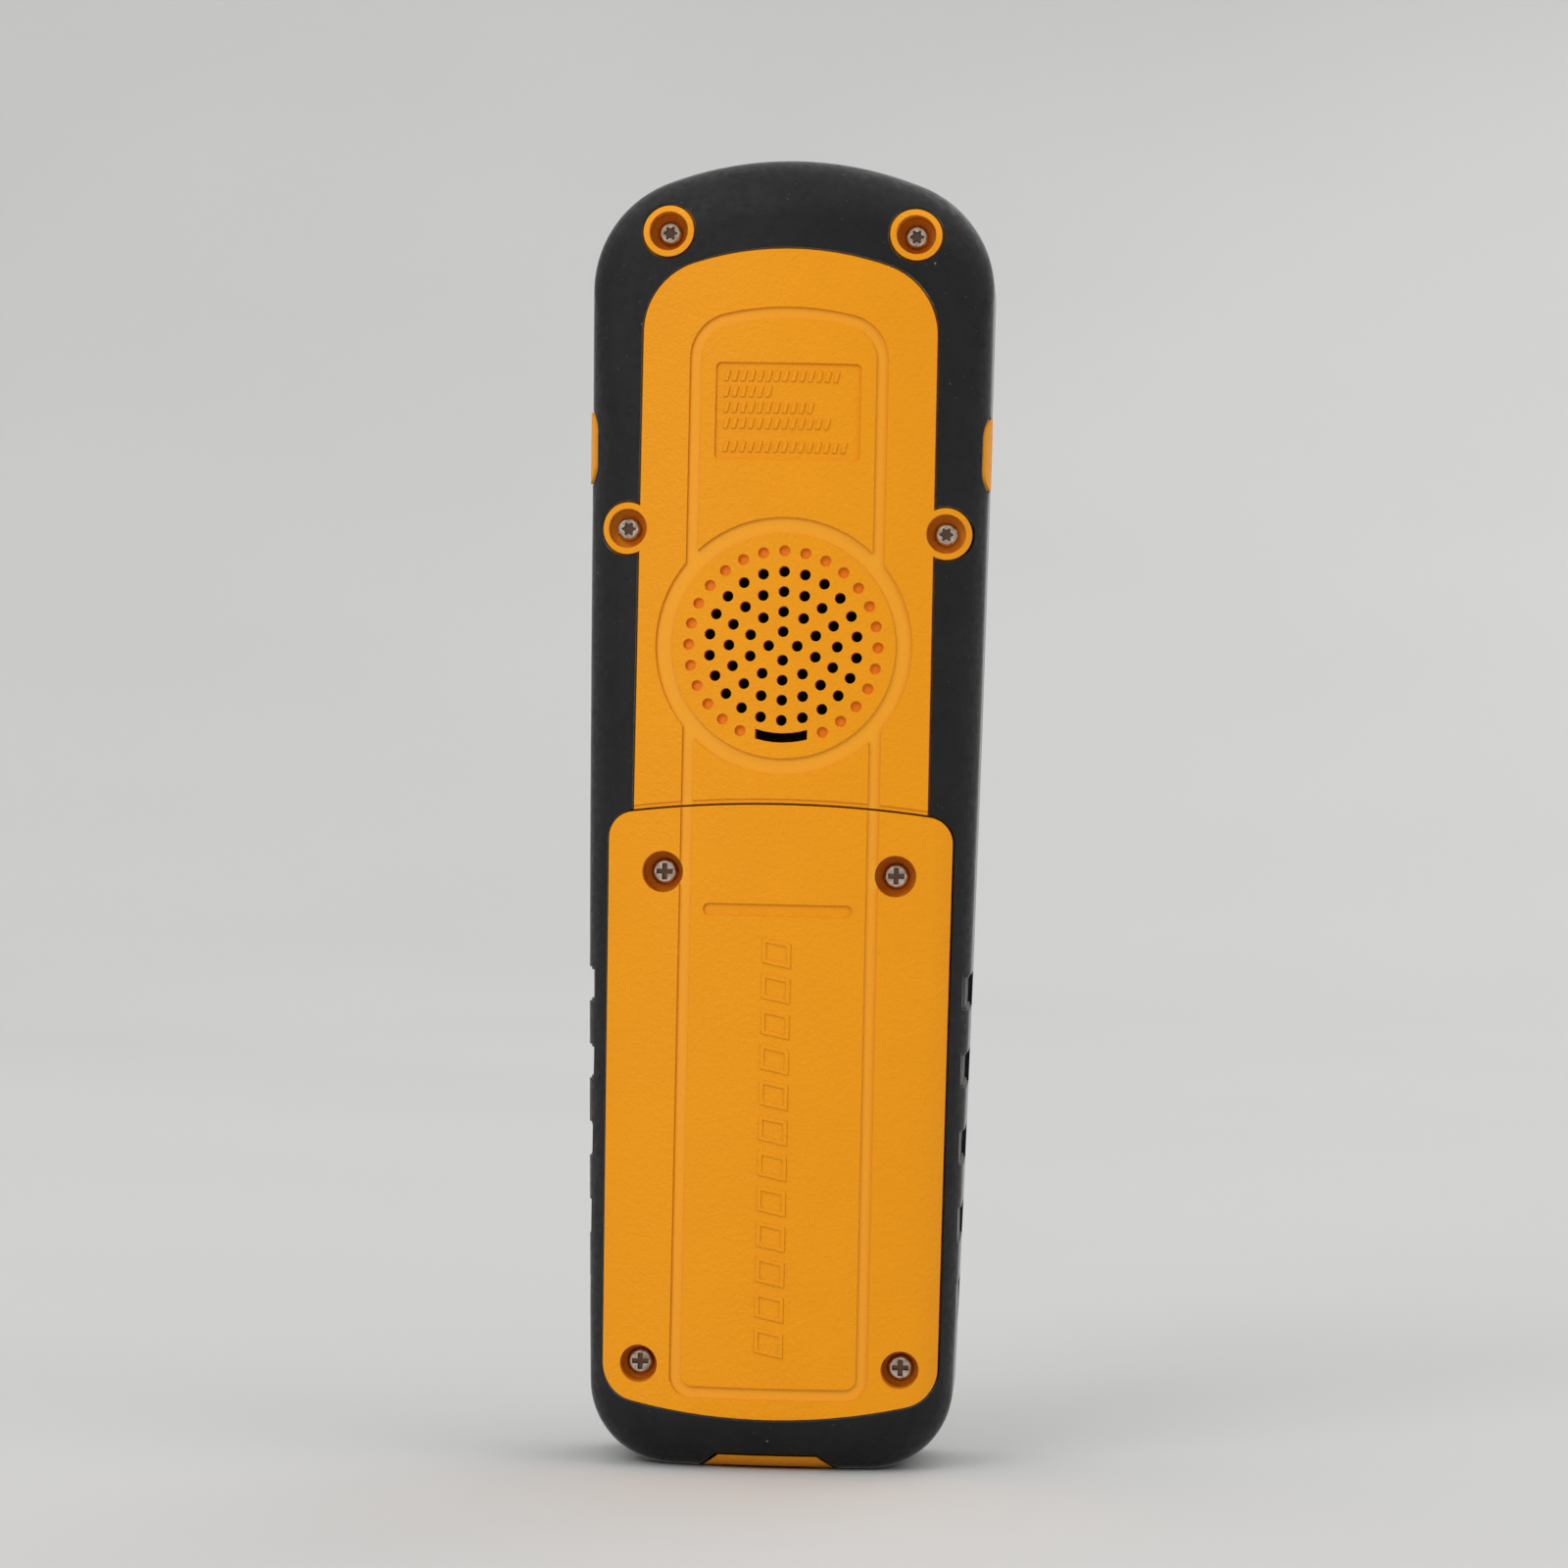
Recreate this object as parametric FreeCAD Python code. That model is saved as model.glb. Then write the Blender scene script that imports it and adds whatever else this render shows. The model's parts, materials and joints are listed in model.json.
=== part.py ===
import FreeCAD
import Part
import functools
import math
import os

# A rugged two-way handset with a sealed case, standing on its foot.
# Millimetres. +Z runs up the length, the keypad faces -Y and the loudspeaker faces +Y.
# The origin is the middle of the foot, on the surface that the handset stands on.

V = FreeCAD.Vector

# Overall sizes
LENGTH = 175.0
WIDTH = 54.0                 # across the shoulders
DEPTH = 32.0                 # keypad face to the middle of the back

# Outer form
WAIST_IN = 0.9               # how far the waist is drawn in from the shoulders, each side
FOOT_IN = 2.9                # and the foot
CROWN_R = 50.0               # arch of the top end
SHOULDER_R = 15.0
FOOT_R = 11.0
BACK_R = 65.0                # crown of the back across the width
BACK_EDGE_R = 8.0
FRONT_EDGE_R = 5.0

# Shell
OVERMOULD = 1.6              # rubber skin over the case
WALL = 2.4                   # case wall behind the rubber
PARTING_DEPTH = 11.0         # keypad face to the plane where the case halves meet
SHADOW_GAP = 0.3             # rubber to the yellow panel and rings
BUMPER_SEAM = 0.2            # between the two rubber skins

# Yellow panel on the back
PANEL_SIDE = 7.4             # width of the rubber beside the panel
PANEL_TOP_DOWN = 12.5        # width of the rubber above the panel
PANEL_CROWN_R = 43.0
PANEL_CORNER_R = 9.5
PANEL_LIP = 0.55             # narrow step along the seam with the battery cover
PANEL_LIP_DEPTH = 0.18

# Yellow foot between the charging contacts
FOOT_PATCH_HALF = 9.05       # at the standing surface
FOOT_PATCH_HEIGHT = 2.0
FOOT_PATCH_SLOPE = 1.25      # narrowing of each side per millimetre of height
FOOT_RECESS_HALF = 6.0
FOOT_RECESS_DEPTH = 0.33

# Moulded groove, label recess and bar recess
GROOVE_HALF = 13.2
GROOVE_WIDTH = 1.55
GROOVE_DEPTH = 0.4
GROOVE_TOP_DOWN = 7.7        # below the panel's top edge
GROOVE_FOOT_UP = 2.6         # above the cover's lower edge
GROOVE_CROWN_R = 38.0
GROOVE_TOP_CORNER_R = 6.0
GROOVE_FOOT_CORNER_R = 3.0
GROOVE_RING_R = 17.1
GROOVE_RING_WIDTH = 2.15
LABEL_WIDTH = 19.3
LABEL_HEIGHT = 12.9
LABEL_CORNER_R = 0.7
LABEL_DEPTH = 0.3
LABEL_DOWN = 34.1            # below the top end
LABEL_ROWS = ((4.7, 14), (2.6, 6), (0.5, 11), (-1.6, 13), (-4.7, 15))   # height on the label, strokes
LABEL_STROKE_WIDTH = 0.55
LABEL_STROKE_TALL = 1.4
LABEL_STROKE_SLANT = 0.35
LABEL_STROKE_PITCH = 1.12
LABEL_MARGIN = 1.3
LABEL_STROKE_RISE = 0.16
BAR_WIDTH = 19.8
BAR_HEIGHT = 1.6
BAR_DOWN = 14.0              # below the cover's top edge
BAR_DEPTH = 0.3

# Raised slanted marks down the cover
MARK_COUNT = 12
MARK_PITCH = 4.7
MARK_FIRST_UP = 8.6          # above the cover's lower edge
MARK_HALF = 1.9
MARK_TALL = 3.3
MARK_SLANT = 0.8
MARK_LINE = 0.55             # width of each mark's outline
MARK_RISE = 0.12

# Loudspeaker and its grille
SPEAKER_DOWN = 65.2          # below the top end
SPEAKER_R = 14.2
SPEAKER_SEAT = 5.8           # seat below the back
SPEAKER_FIT = 0.6            # rim to the locating wall
SPEAKER_WALL = 1.4
SPEAKER_WALL_DROP = 3.0      # locating wall beyond the seat
SPEAKER_LEDGE = 1.8
MEMBRANE_T = 0.2
GASKET_T = 0.8
SPEAKER_RIM_T = 0.8
BASKET_R = 10.2
BASKET_DEPTH = 3.6
MAGNET_R = 8.6
MAGNET_T = 3.4
CONE_T = 0.3
CONE_FIT = 0.5               # cone's edge to the frame's bore
HOLE_R = 0.72
HOLE_RINGS = ((1.9, 4), (4.55, 10), (7.2, 16), (9.87, 22))   # ring radius, holes
BLIND_RING = (12.6, 28)
BLIND_DEPTH = 0.55
DRAIN_HALF = 3.45            # slot in place of the lowest blind dots
DRAIN_TALL = 1.25
DRAIN_DROP = 12.2

# Case screws, in pairs: top, middle and one pair under the cover
SCREW_SEAT = 7.0             # below the back
SCREW_HEAD_R = 1.6
SCREW_HEAD_T = 1.5
SCREW_R = 0.95
SCREW_CLEAR = 0.2
SCREW_TIP = 5.0              # below the parting plane
CASE_POCKET_R = 2.62
CASE_RING_R = 3.45
CASE_TUBE_R = 2.2
CASE_POST_R = 2.75
CASE_TOP_IN = 3.1            # inwards from the panel's side
CASE_TOP_DOWN = 10.15
CASE_MID_OUT = 1.65          # outwards from the panel's side
CASE_MID_DOWN = 49.8
CASE_LOW_Z = 28.0
INSERT_R = 1.5
INSERT_BORE_R = 1.03
INSERT_LENGTH = 4.3

# Battery cover
COVER_T = 2.2
DECK_GAP = 0.3               # cover to the deck below it
EDGE_GAP = 0.25
SKIRT_DEPTH = 9.0            # back to the lower edge of the cover's sides
COVER_FOOT = 7.1
COVER_SIDE = 3.1             # rubber beside the cover, at the waist
COVER_FOOT_SIDE = 1.75
COVER_CROWN_R = 155.0
COVER_FOOT_CROWN_R = 91.0
COVER_TOP_CORNER_R = 3.5
COVER_FOOT_CORNER_R = 5.0
COVER_SCREW_HEAD_R = 1.75
COVER_SCREW_HEAD_T = 1.3
COVER_SCREW_TIP_GAP = 0.3    # screw's end to the bottom of its hole
COVER_TOP_POCKET_R = 2.75
COVER_LOW_POCKET_R = 2.5
COVER_TUBE_WALL = 0.8
COVER_TUBE_FLOOR = 1.0
COVER_TUBE_GAP = 0.2
COVER_TOP_SCREW_X = 15.5
COVER_TOP_SCREW_DOWN = 9.2
COVER_LOW_SCREW_IN = 4.95
COVER_LOW_SCREW_UP = 6.8
PILLAR_WALL = 1.0

# Battery, its tray and its lead
CELL_LENGTH = 44.5
CELL_R = 5.15
CELL_GAP = 0.1
CELL_NUB_R = 1.6
CELL_NUB_T = 0.5
SLEEVE_FIT = 0.1
SLEEVE_T = 0.2
TRAY_LOW = 17.0
TRAY_WALL = 1.5
TRAY_SIDE_FIT = 1.0
TRAY_END_FIT = 0.8
LEAD_ROOM = 9.7              # between the cells and the tray's upper end
TRAY_DEPTH = 14.3            # back to the tray's floor
BATTERY_LIFT = 0.3           # cells above the tray's floor
LEAD_R = 0.45
LEAD_X = 1.4
PLUG_HALF = 2.85
PLUG_T = 1.8
PLUG_TALL = 5.4
PLUG_FIT = 0.1
SOCKET_WALL = 0.8
SOCKET_TALL = 5.5
SOCKET_FLOOR = 1.2

# Cover seal
SEAL_LAND = 0.9              # tray wall to the seal groove
SEAL_GROOVE = 1.6
SEAL_FIT = 0.15
SEAL_CORNER_R = 3.0
SEAL_FLOOR = 5.0             # below the back
SEAL_T = 0.85
SEAL_BACKING = 2.0
COVER_ROOM = 16.7            # tray's upper end to the cover's top edge

# Case seal
CASE_SEAL_IN = 0.7
CASE_SEAL_WIDTH = 1.0
CASE_SEAL_DEPTH = 0.6

# Keypad side
FACE_RING_OUT = 5.3          # accent ring, in from the outline
FACE_RING_IN = 6.6
FACE_GAP = 0.15
KEY_PROUD = 0.8
KEY_GAP = 0.25
KEY_EDGE_R = 0.5
KEY_TRAVEL = 0.6
KEY_FLANGE = 0.7
KEY_FLANGE_T = 0.8
KEY_FLANGE_GAP = 0.1
DIGIT_WIDTH = 10.6
DIGIT_HEIGHT = 8.0
DIGIT_CORNER_R = 2.4
DIGIT_PITCH_X = 12.6
DIGIT_PITCH_Z = 11.6
DIGIT_LOW_Z = 39.2
CALL_WIDTH = 8.8
CALL_HEIGHT = 8.0
CALL_X = 14.4
CALL_LOW_Z = 88.6
CALL_HIGH_Z = 101.0
NAV_Z = 94.8
NAV_R = 8.4
NAV_BORE_R = 4.1
NAV_GAP = 0.55
NAV_FLANGE = 0.8
NAV_FLANGE_T = 0.6
NAV_FLANGE_GAP = 0.6
NAV_PIN_R = 0.5              # pins that the rocker turns on
NAV_PIN_OUT = 1.35           # beyond the flange
NAV_PIN_FIT = 0.05
NAV_LUG_GAP = 0.35           # flange to the lug that holds a pin
NAV_LUG_T = 1.2
NAV_LUG_HALF = 1.1
NAV_LUG_DEEP = 1.55          # from the case wall
SELECT_R = 3.4
MAT_T = 1.0
MAT_GAP = 0.15               # key flange at full travel to the mat's bumps
MAT_BUMP_R = 2.6
MAT_BUMP_T = 0.3
MAT_HALF = 18.8
DOME_SHEET_T = 0.25
DOME_R = 2.4
DOME_T = 0.25
BOARD_T = 1.0
BOARD_FIT = 0.6
BOARD_REST_X = 20.2
BOARD_REST_R = 1.1
BOARD_REST_Z = (20.0, 60.0, 105.0)
TRAY_RIB_X = 9.0
TRAY_RIB_R = 1.5
TRAY_RIB_IN = 8.0            # from each end of the tray
TRAY_RIB_GAP = 0.05

# Display
DISPLAY_DOWN = 44.0
WINDOW_WIDTH = 37.6
WINDOW_HEIGHT = 33.0
WINDOW_CORNER_R = 3.0
WINDOW_SUNK = 0.15
VIEW_WIDTH = 33.0
VIEW_HEIGHT = 28.0
VIEW_CORNER_R = 1.0
LCD_WIDTH = 35.0
LCD_HEIGHT = 31.0
LCD_T = 1.9
LCD_FRAME_WALL = 0.8
LCD_FIT = 0.1

# Earpiece, microphone, antenna, shield
EARPIECE_DOWN = 18.0
EARPIECE_WIDTH = 12.0
EARPIECE_HEIGHT = 7.0
EARPIECE_T = 2.6
EAR_SLOT_WIDTH = 9.0
EAR_SLOT_TALL = 0.9
EAR_SLOT_PITCH = 2.0
EAR_SLOTS = 3
MESH_T = 0.2
MIC_Z = 24.0
MIC_R = 2.0
MIC_T = 1.6
MIC_HOLE_R = 0.6
BOOT_WALL = 0.9
ANTENNA_HALF = 13.0
ANTENNA_DOWN = 9.5
ANTENNA_TALL = 7.0
ANTENNA_T = 0.3
ANTENNA_RISE = 4.6
ANTENNA_LEG = 2.0
SHIELD_WIDTH = 28.0
SHIELD_HEIGHT = 22.0
SHIELD_T = 2.6
SHIELD_WALL = 0.3
SHIELD_DOWN = 65.0

# Side keys
SIDE_KEY_DOWN = 38.8
SIDE_KEY_LENGTH = 9.6
SIDE_KEY_HALF = 3.0          # half its size from front to back
SIDE_KEY_DEPTH = 10.7        # back to the key's centre line
SIDE_KEY_CORNER_R = 2.6
SIDE_KEY_PROUD = 0.25
SIDE_KEY_GAP = 0.3
SIDE_FLANGE = 1.0
SIDE_FLANGE_T = 0.8
SIDE_FLANGE_IN = 0.3         # flange behind the wall's inner face
SIDE_TRAVEL = 0.6
SIDE_POCKET_GAP = 0.25
SWITCH_SIZE = 4.0
SWITCH_T = 1.8
SWITCH_NUB_R = 0.9
SWITCH_NUB_T = 0.15
SWITCH_SLACK = 0.05
SWITCH_WALL = 1.2

# Grips in the rubber
GRIP_COUNT = 5
GRIP_FIRST_Z = 22.5
GRIP_PITCH = 10.4
GRIP_HALF = 1.95
GRIP_DEPTH = 0.6
GRIP_BEVEL = 0.4
GRIP_EDGE = 1.5              # in from the waist's outline, towards the cover
GRIP_FRONT = 5.5             # keypad face to the front end of each grip

# Charging contacts
CONTACT_X = 3.6
CONTACT_HALF = 1.4
CONTACT_DEPTH = 3.0
CONTACT_Y = 1.0
CONTACT_RISE = 5.2

# Worked out from the sizes above
FRONT = -DEPTH / 2
BACK = DEPTH / 2
BEYOND = BACK + 4.0          # clear of the back, for cuts
PARTING = FRONT + PARTING_DEPTH
HALF_TOP = WIDTH / 2
HALF_WAIST = HALF_TOP - WAIST_IN
HALF_FOOT = HALF_TOP - FOOT_IN
INSIDE = OVERMOULD + WALL    # outer form to the inside of the case
DECK = COVER_T + DECK_GAP    # outer form to the deck under the cover
PANEL_HALF = HALF_TOP - PANEL_SIDE
PANEL_TOP = LENGTH - PANEL_TOP_DOWN
COVER_HALF_TOP = HALF_WAIST - COVER_SIDE
COVER_HALF_FOOT = HALF_FOOT - COVER_FOOT_SIDE
SLEEVE_R = CELL_R + SLEEVE_FIT + SLEEVE_T
CELL_X = CELL_R + CELL_GAP / 2
TRAY_HALF = CELL_X + SLEEVE_R + TRAY_SIDE_FIT
TRAY_HIGH = TRAY_LOW + TRAY_END_FIT + CELL_LENGTH + LEAD_ROOM
TRAY_FLOOR = BACK - TRAY_DEPTH
COVER_TOP = TRAY_HIGH + COVER_ROOM
SKIRT = BACK - SKIRT_DEPTH
SEAT_Y = BACK - SCREW_SEAT
CELL_Y = TRAY_FLOOR + BATTERY_LIFT + SLEEVE_R
CELL_LOW = TRAY_LOW + TRAY_END_FIT
CELL_HIGH = CELL_LOW + CELL_LENGTH
SEAL_IN_HALF = TRAY_HALF + SEAL_LAND
SEAL_OUT_HALF = SEAL_IN_HALF + SEAL_GROOVE
SEAL_Y = BACK - SEAL_FLOOR
SPEAKER_Z = LENGTH - SPEAKER_DOWN
SPEAKER_Y = BACK - SPEAKER_SEAT
SPEAKER_BORE_R = SPEAKER_R + SPEAKER_FIT
DISPLAY_Z = LENGTH - DISPLAY_DOWN
EARPIECE_Z = LENGTH - EARPIECE_DOWN
SIDE_KEY_Z = LENGTH - SIDE_KEY_DOWN
SIDE_KEY_Y = BACK - SIDE_KEY_DEPTH
INNER_FRONT = FRONT + INSIDE
KEY_FLANGE_Y = INNER_FRONT + KEY_FLANGE_GAP
NAV_PIN_Y = INNER_FRONT + NAV_FLANGE_GAP + NAV_FLANGE_T / 2
MAT_BUMP_Y = KEY_FLANGE_Y + KEY_FLANGE_T + KEY_TRAVEL + MAT_GAP
MAT_Y = MAT_BUMP_Y + MAT_BUMP_T
DOME_SHEET_Y = MAT_Y + MAT_T
BOARD_Y = DOME_SHEET_Y + DOME_SHEET_T
BOARD_BACK = BOARD_Y + BOARD_T
CASE_SCREWS_SEEN = [
    (PANEL_HALF - CASE_TOP_IN, LENGTH - CASE_TOP_DOWN),
    (PANEL_HALF + CASE_MID_OUT, LENGTH - CASE_MID_DOWN),
]
CASE_SCREWS_HIDDEN = [(SEAL_OUT_HALF + CASE_RING_R, CASE_LOW_Z)]
COVER_SCREWS = [
    (COVER_TOP_SCREW_X, COVER_TOP - COVER_TOP_SCREW_DOWN, COVER_TOP_POCKET_R),
    (COVER_HALF_FOOT - COVER_LOW_SCREW_IN, COVER_FOOT + COVER_LOW_SCREW_UP, COVER_LOW_POCKET_R),
]
DIGITS = {"star": (-1, 0), "0": (0, 0), "hash": (1, 0)}
DIGITS.update({str(n + 1): (n % 3 - 1, 3 - n // 3) for n in range(9)})
CALL_KEYS = {"menu": (-1, CALL_HIGH_Z), "clear": (1, CALL_HIGH_Z)}
CALL_KEYS.update({"talk": (-1, CALL_LOW_Z), "end": (1, CALL_LOW_Z)})
MAT_LOW = DIGIT_LOW_Z - DIGIT_PITCH_Z / 2
MAT_HIGH = CALL_HIGH_Z + CALL_HEIGHT / 2 + KEY_FLANGE


# Plain solids

def box(x0, x1, y0, y1, z0, z1):
    return Part.makeBox(x1 - x0, y1 - y0, z1 - z0, V(x0, y0, z0))


def rod(x, z, radius, y0, y1):
    """A round bar along Y."""
    return Part.makeCylinder(radius, y1 - y0, V(x, y0, z), V(0, 1, 0))


def slab(x, z, width, height, corner, y0, y1):
    """A rectangle in X and Z with round corners, drawn out along Y."""
    solid = box(x - width / 2, x + width / 2, y0, y1, z - height / 2, z + height / 2)
    corners = [e for e in solid.Edges if abs(e.Vertexes[0].Y - e.Vertexes[1].Y) > 0.001]
    return solid.makeFillet(corner, corners)


def drawn(points, y0, y1):
    """A flat polygon in X and Z, drawn out along Y."""
    wire = Part.makePolygon([V(x, y0, z) for x, z in points + points[:1]])
    return Part.Face(wire).extrude(V(0, y1 - y0, 0))


def turned(x, z, points):
    """A polygon of (radius, y) points turned about the line along Y through x and z."""
    wire = Part.makePolygon([V(x + r, y, z) for r, y in points + points[:1]])
    return Part.Face(wire).revolve(V(x, 0, z), V(0, 1, 0), 360)


def mirrored(shape):
    return shape.mirror(V(0, 0, 0), V(1, 0, 0))


def both(shape):
    """A piece and its mirror image on the other side of the handset."""
    return [shape, mirrored(shape)]


def sag(radius, half):
    return radius - math.sqrt(radius * radius - half * half) if radius else 0.0


def outline(y0, y1, foot, top, half_foot, half_top, crown=0, foot_crown=0, top_r=0, foot_r=0, waist=None):
    """A shield shape in X and Z, drawn out along Y: arched ends, straight or bowed sides, round corners."""
    z_top = top - sag(crown, half_top)
    z_foot = foot + sag(foot_crown, half_foot)

    def end(half, z_side, z_mid, way):
        start, finish = V(way * half, y0, z_side), V(-way * half, y0, z_side)
        if abs(z_mid - z_side) < 1e-9:
            return Part.LineSegment(start, finish).toShape()
        return Part.Arc(start, V(0, y0, z_mid), finish).toShape()

    def side(way):
        ends = [V(way * half_foot, y0, z_foot), V(way * half_top, y0, z_top)][::way]
        if waist:
            return Part.Arc(ends[0], V(way * waist[0], y0, waist[1]), ends[1]).toShape()
        return Part.LineSegment(ends[0], ends[1]).toShape()

    wire = Part.Wire([end(half_foot, z_foot, foot, -1), side(1), end(half_top, z_top, top, 1), side(-1)])
    solid = Part.Face(wire).extrude(V(0, y1 - y0, 0))
    for half, z, radius in ((half_top, z_top, top_r), (half_foot, z_foot, foot_r)):
        if radius > 0:
            corners = [e for e in solid.Edges if abs(e.Vertexes[0].Y - e.Vertexes[-1].Y) > 0.001 and all(
                abs(abs(v.X) - half) < 1e-5 and abs(v.Z - z) < 1e-5 for v in e.Vertexes)]
            solid = solid.makeFillet(radius, corners)
    return solid


def body_outline(inset, y0, y1):
    """The handset's outline seen from the front, moved inwards by inset."""
    return outline(y0, y1, inset, LENGTH - inset, HALF_FOOT - inset, HALF_TOP - inset, CROWN_R - inset, 0,
                   SHOULDER_R - inset, FOOT_R - inset, (HALF_WAIST - inset, LENGTH / 2))


@functools.lru_cache(maxsize=None)
def blank(inset):
    """The handset's outer form as one solid, with every face moved inwards by inset.

    The room inside the case has a sharp edge round its front."""
    solid = body_outline(inset, FRONT + inset, BEYOND)
    crown = Part.makeCylinder(BACK_R - inset, LENGTH + 20, V(0, BACK - BACK_R, -10), V(0, 0, 1))
    solid = solid.common(crown)
    back = [f for f in solid.Faces if isinstance(f.Surface, Part.Cylinder)
            and abs(f.Surface.Radius - crown.Faces[0].Surface.Radius) < 1e-6 and abs(f.Surface.Axis.z) > 0.99]
    solid = solid.makeFillet(BACK_EDGE_R - inset, back[0].Edges)
    if inset >= INSIDE:
        return solid
    face = [f for f in solid.Faces if isinstance(f.Surface, Part.Plane) and abs(f.Surface.Axis.y) > 0.99]
    return solid.makeFillet(FRONT_EDGE_R - inset, face[0].Edges)


def rear_part(gap=0.0):
    return box(-WIDTH, WIDTH, PARTING + gap, BEYOND, -1, LENGTH + 1)


def front_part(gap=0.0):
    return box(-WIDTH, WIDTH, FRONT - 5, PARTING - gap, -1, LENGTH + 1)


# Outlines shared by the pieces that meet along them

def foot_patch(grow):
    low = -1.0
    wide = FOOT_PATCH_HALF - low * FOOT_PATCH_SLOPE + grow
    narrow = FOOT_PATCH_HALF - FOOT_PATCH_HEIGHT * FOOT_PATCH_SLOPE + grow
    top = FOOT_PATCH_HEIGHT + grow
    return drawn([(-wide, low), (wide, low), (narrow, top), (-narrow, top)], PARTING, BEYOND)


def yellow_parts(grow):
    """Where the rear case comes through the rubber: panel, rings round the screws, foot."""
    panel = outline(PARTING, BEYOND, COVER_TOP - COVER_TOP_SCREW_DOWN, PANEL_TOP + grow, PANEL_HALF + grow,
                    PANEL_HALF + grow, PANEL_CROWN_R + grow, 0, PANEL_CORNER_R + grow)
    pieces = [foot_patch(grow)]
    for x, z in CASE_SCREWS_SEEN:
        pieces += both(rod(x, z, CASE_RING_R + grow, PARTING, BEYOND))
    return panel.fuse(pieces)


def cover_outline(grow, y0, lift=0.0):
    return outline(y0, BEYOND, COVER_FOOT - grow, COVER_TOP + grow + lift, COVER_HALF_FOOT + grow,
                   COVER_HALF_TOP + grow, COVER_CROWN_R + grow, COVER_FOOT_CROWN_R + grow,
                   COVER_TOP_CORNER_R + grow, COVER_FOOT_CORNER_R + grow)


def moulded_groove():
    """The shallow band round the panel and the cover, with its ring round the loudspeaker."""
    def frame(inset):
        return outline(0, BEYOND, COVER_FOOT + GROOVE_FOOT_UP + inset, PANEL_TOP - GROOVE_TOP_DOWN - inset,
                       GROOVE_HALF - inset, GROOVE_HALF - inset, GROOVE_CROWN_R - inset, 0,
                       GROOVE_TOP_CORNER_R - inset, GROOVE_FOOT_CORNER_R - inset)
    eye = rod(0, SPEAKER_Z, GROOVE_RING_R - GROOVE_RING_WIDTH, 0, BEYOND)
    ring = rod(0, SPEAKER_Z, GROOVE_RING_R, 0, BEYOND)
    band = frame(0).cut(frame(GROOVE_WIDTH)).fuse(ring).cut(eye)
    return band.cut(blank(GROOVE_DEPTH))


def seal_loop(inset, y0, y1):
    """The closed loop round the battery tray, moved inwards from both walls of its groove by inset."""
    middle = (TRAY_LOW + TRAY_HIGH) / 2
    length = TRAY_HIGH - TRAY_LOW + 2 * SEAL_LAND
    outer = slab(0, middle, 2 * (SEAL_OUT_HALF - inset), length + 2 * (SEAL_GROOVE - inset),
                 SEAL_CORNER_R - inset, y0, y1)
    inner = slab(0, middle, 2 * (SEAL_IN_HALF + inset), length + 2 * inset,
                 SEAL_CORNER_R - SEAL_GROOVE + inset, y0, y1)
    return outer.cut(inner)


def side_key_form(grow, x0, x1):
    """The side key's rounded shape in Y and Z, drawn out along X."""
    half_z = SIDE_KEY_LENGTH / 2 + grow
    half_y = SIDE_KEY_HALF + grow
    solid = box(x0, x1, SIDE_KEY_Y - half_y, SIDE_KEY_Y + half_y, SIDE_KEY_Z - half_z, SIDE_KEY_Z + half_z)
    corners = [e for e in solid.Edges if abs(e.Vertexes[0].X - e.Vertexes[1].X) > 0.001]
    return solid.makeFillet(SIDE_KEY_CORNER_R + grow, corners)


# Rear case

def screw_tubes():
    """Tubes for the case screws, from the back down to the parting plane."""
    tubes = []
    for x, z in CASE_SCREWS_SEEN + CASE_SCREWS_HIDDEN:
        wide = rod(x, z, CASE_RING_R, SEAT_Y - COVER_TUBE_FLOOR, BEYOND)
        tubes += both(wide.fuse(rod(x, z, CASE_TUBE_R, PARTING, SEAT_Y)))
    return tubes


def screw_holes():
    holes = []
    for x, z in CASE_SCREWS_SEEN + CASE_SCREWS_HIDDEN:
        holes += both(rod(x, z, CASE_POCKET_R, SEAT_Y, BEYOND))
        holes += both(rod(x, z, SCREW_R + SCREW_CLEAR, PARTING - 1, SEAT_Y + 1))
    return holes


def tube_floor():
    """The level where a cover screw's pillar ends, below the cover's tube."""
    return SEAT_Y - COVER_TUBE_FLOOR - COVER_TUBE_GAP


def cover_pillars():
    pillars = []
    for x, z, pocket in COVER_SCREWS:
        radius = pocket + COVER_TUBE_WALL + COVER_TUBE_GAP + PILLAR_WALL
        pillars += both(rod(x, z, radius, tube_floor() - INSERT_LENGTH - PILLAR_WALL, BEYOND))
    return pillars


def cover_pillar_holes():
    holes = []
    for x, z, pocket in COVER_SCREWS:
        radius = pocket + COVER_TUBE_WALL + COVER_TUBE_GAP
        holes += both(rod(x, z, radius, tube_floor(), BEYOND))
        holes += both(rod(x, z, INSERT_R, tube_floor() - INSERT_LENGTH, tube_floor() + 1))
    return holes


def battery_tray():
    """The tray's walls and floor, the land under the cover's seal, and the ribs that hold the board."""
    walls = box(-TRAY_HALF - TRAY_WALL, TRAY_HALF + TRAY_WALL, TRAY_FLOOR - TRAY_WALL, BEYOND,
                TRAY_LOW - TRAY_WALL, TRAY_HIGH + TRAY_WALL)
    rim = SEAL_LAND + SEAL_GROOVE + TRAY_WALL
    land = box(-TRAY_HALF - rim, TRAY_HALF + rim, SEAL_Y - SEAL_BACKING, BEYOND, TRAY_LOW - rim,
               TRAY_HIGH + rim)
    ribs = []
    for z in (TRAY_LOW + TRAY_RIB_IN, TRAY_HIGH - TRAY_RIB_IN):
        ribs += both(rod(TRAY_RIB_X, z, TRAY_RIB_R, BOARD_BACK + TRAY_RIB_GAP, TRAY_FLOOR))
    return [walls, land] + ribs


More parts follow.
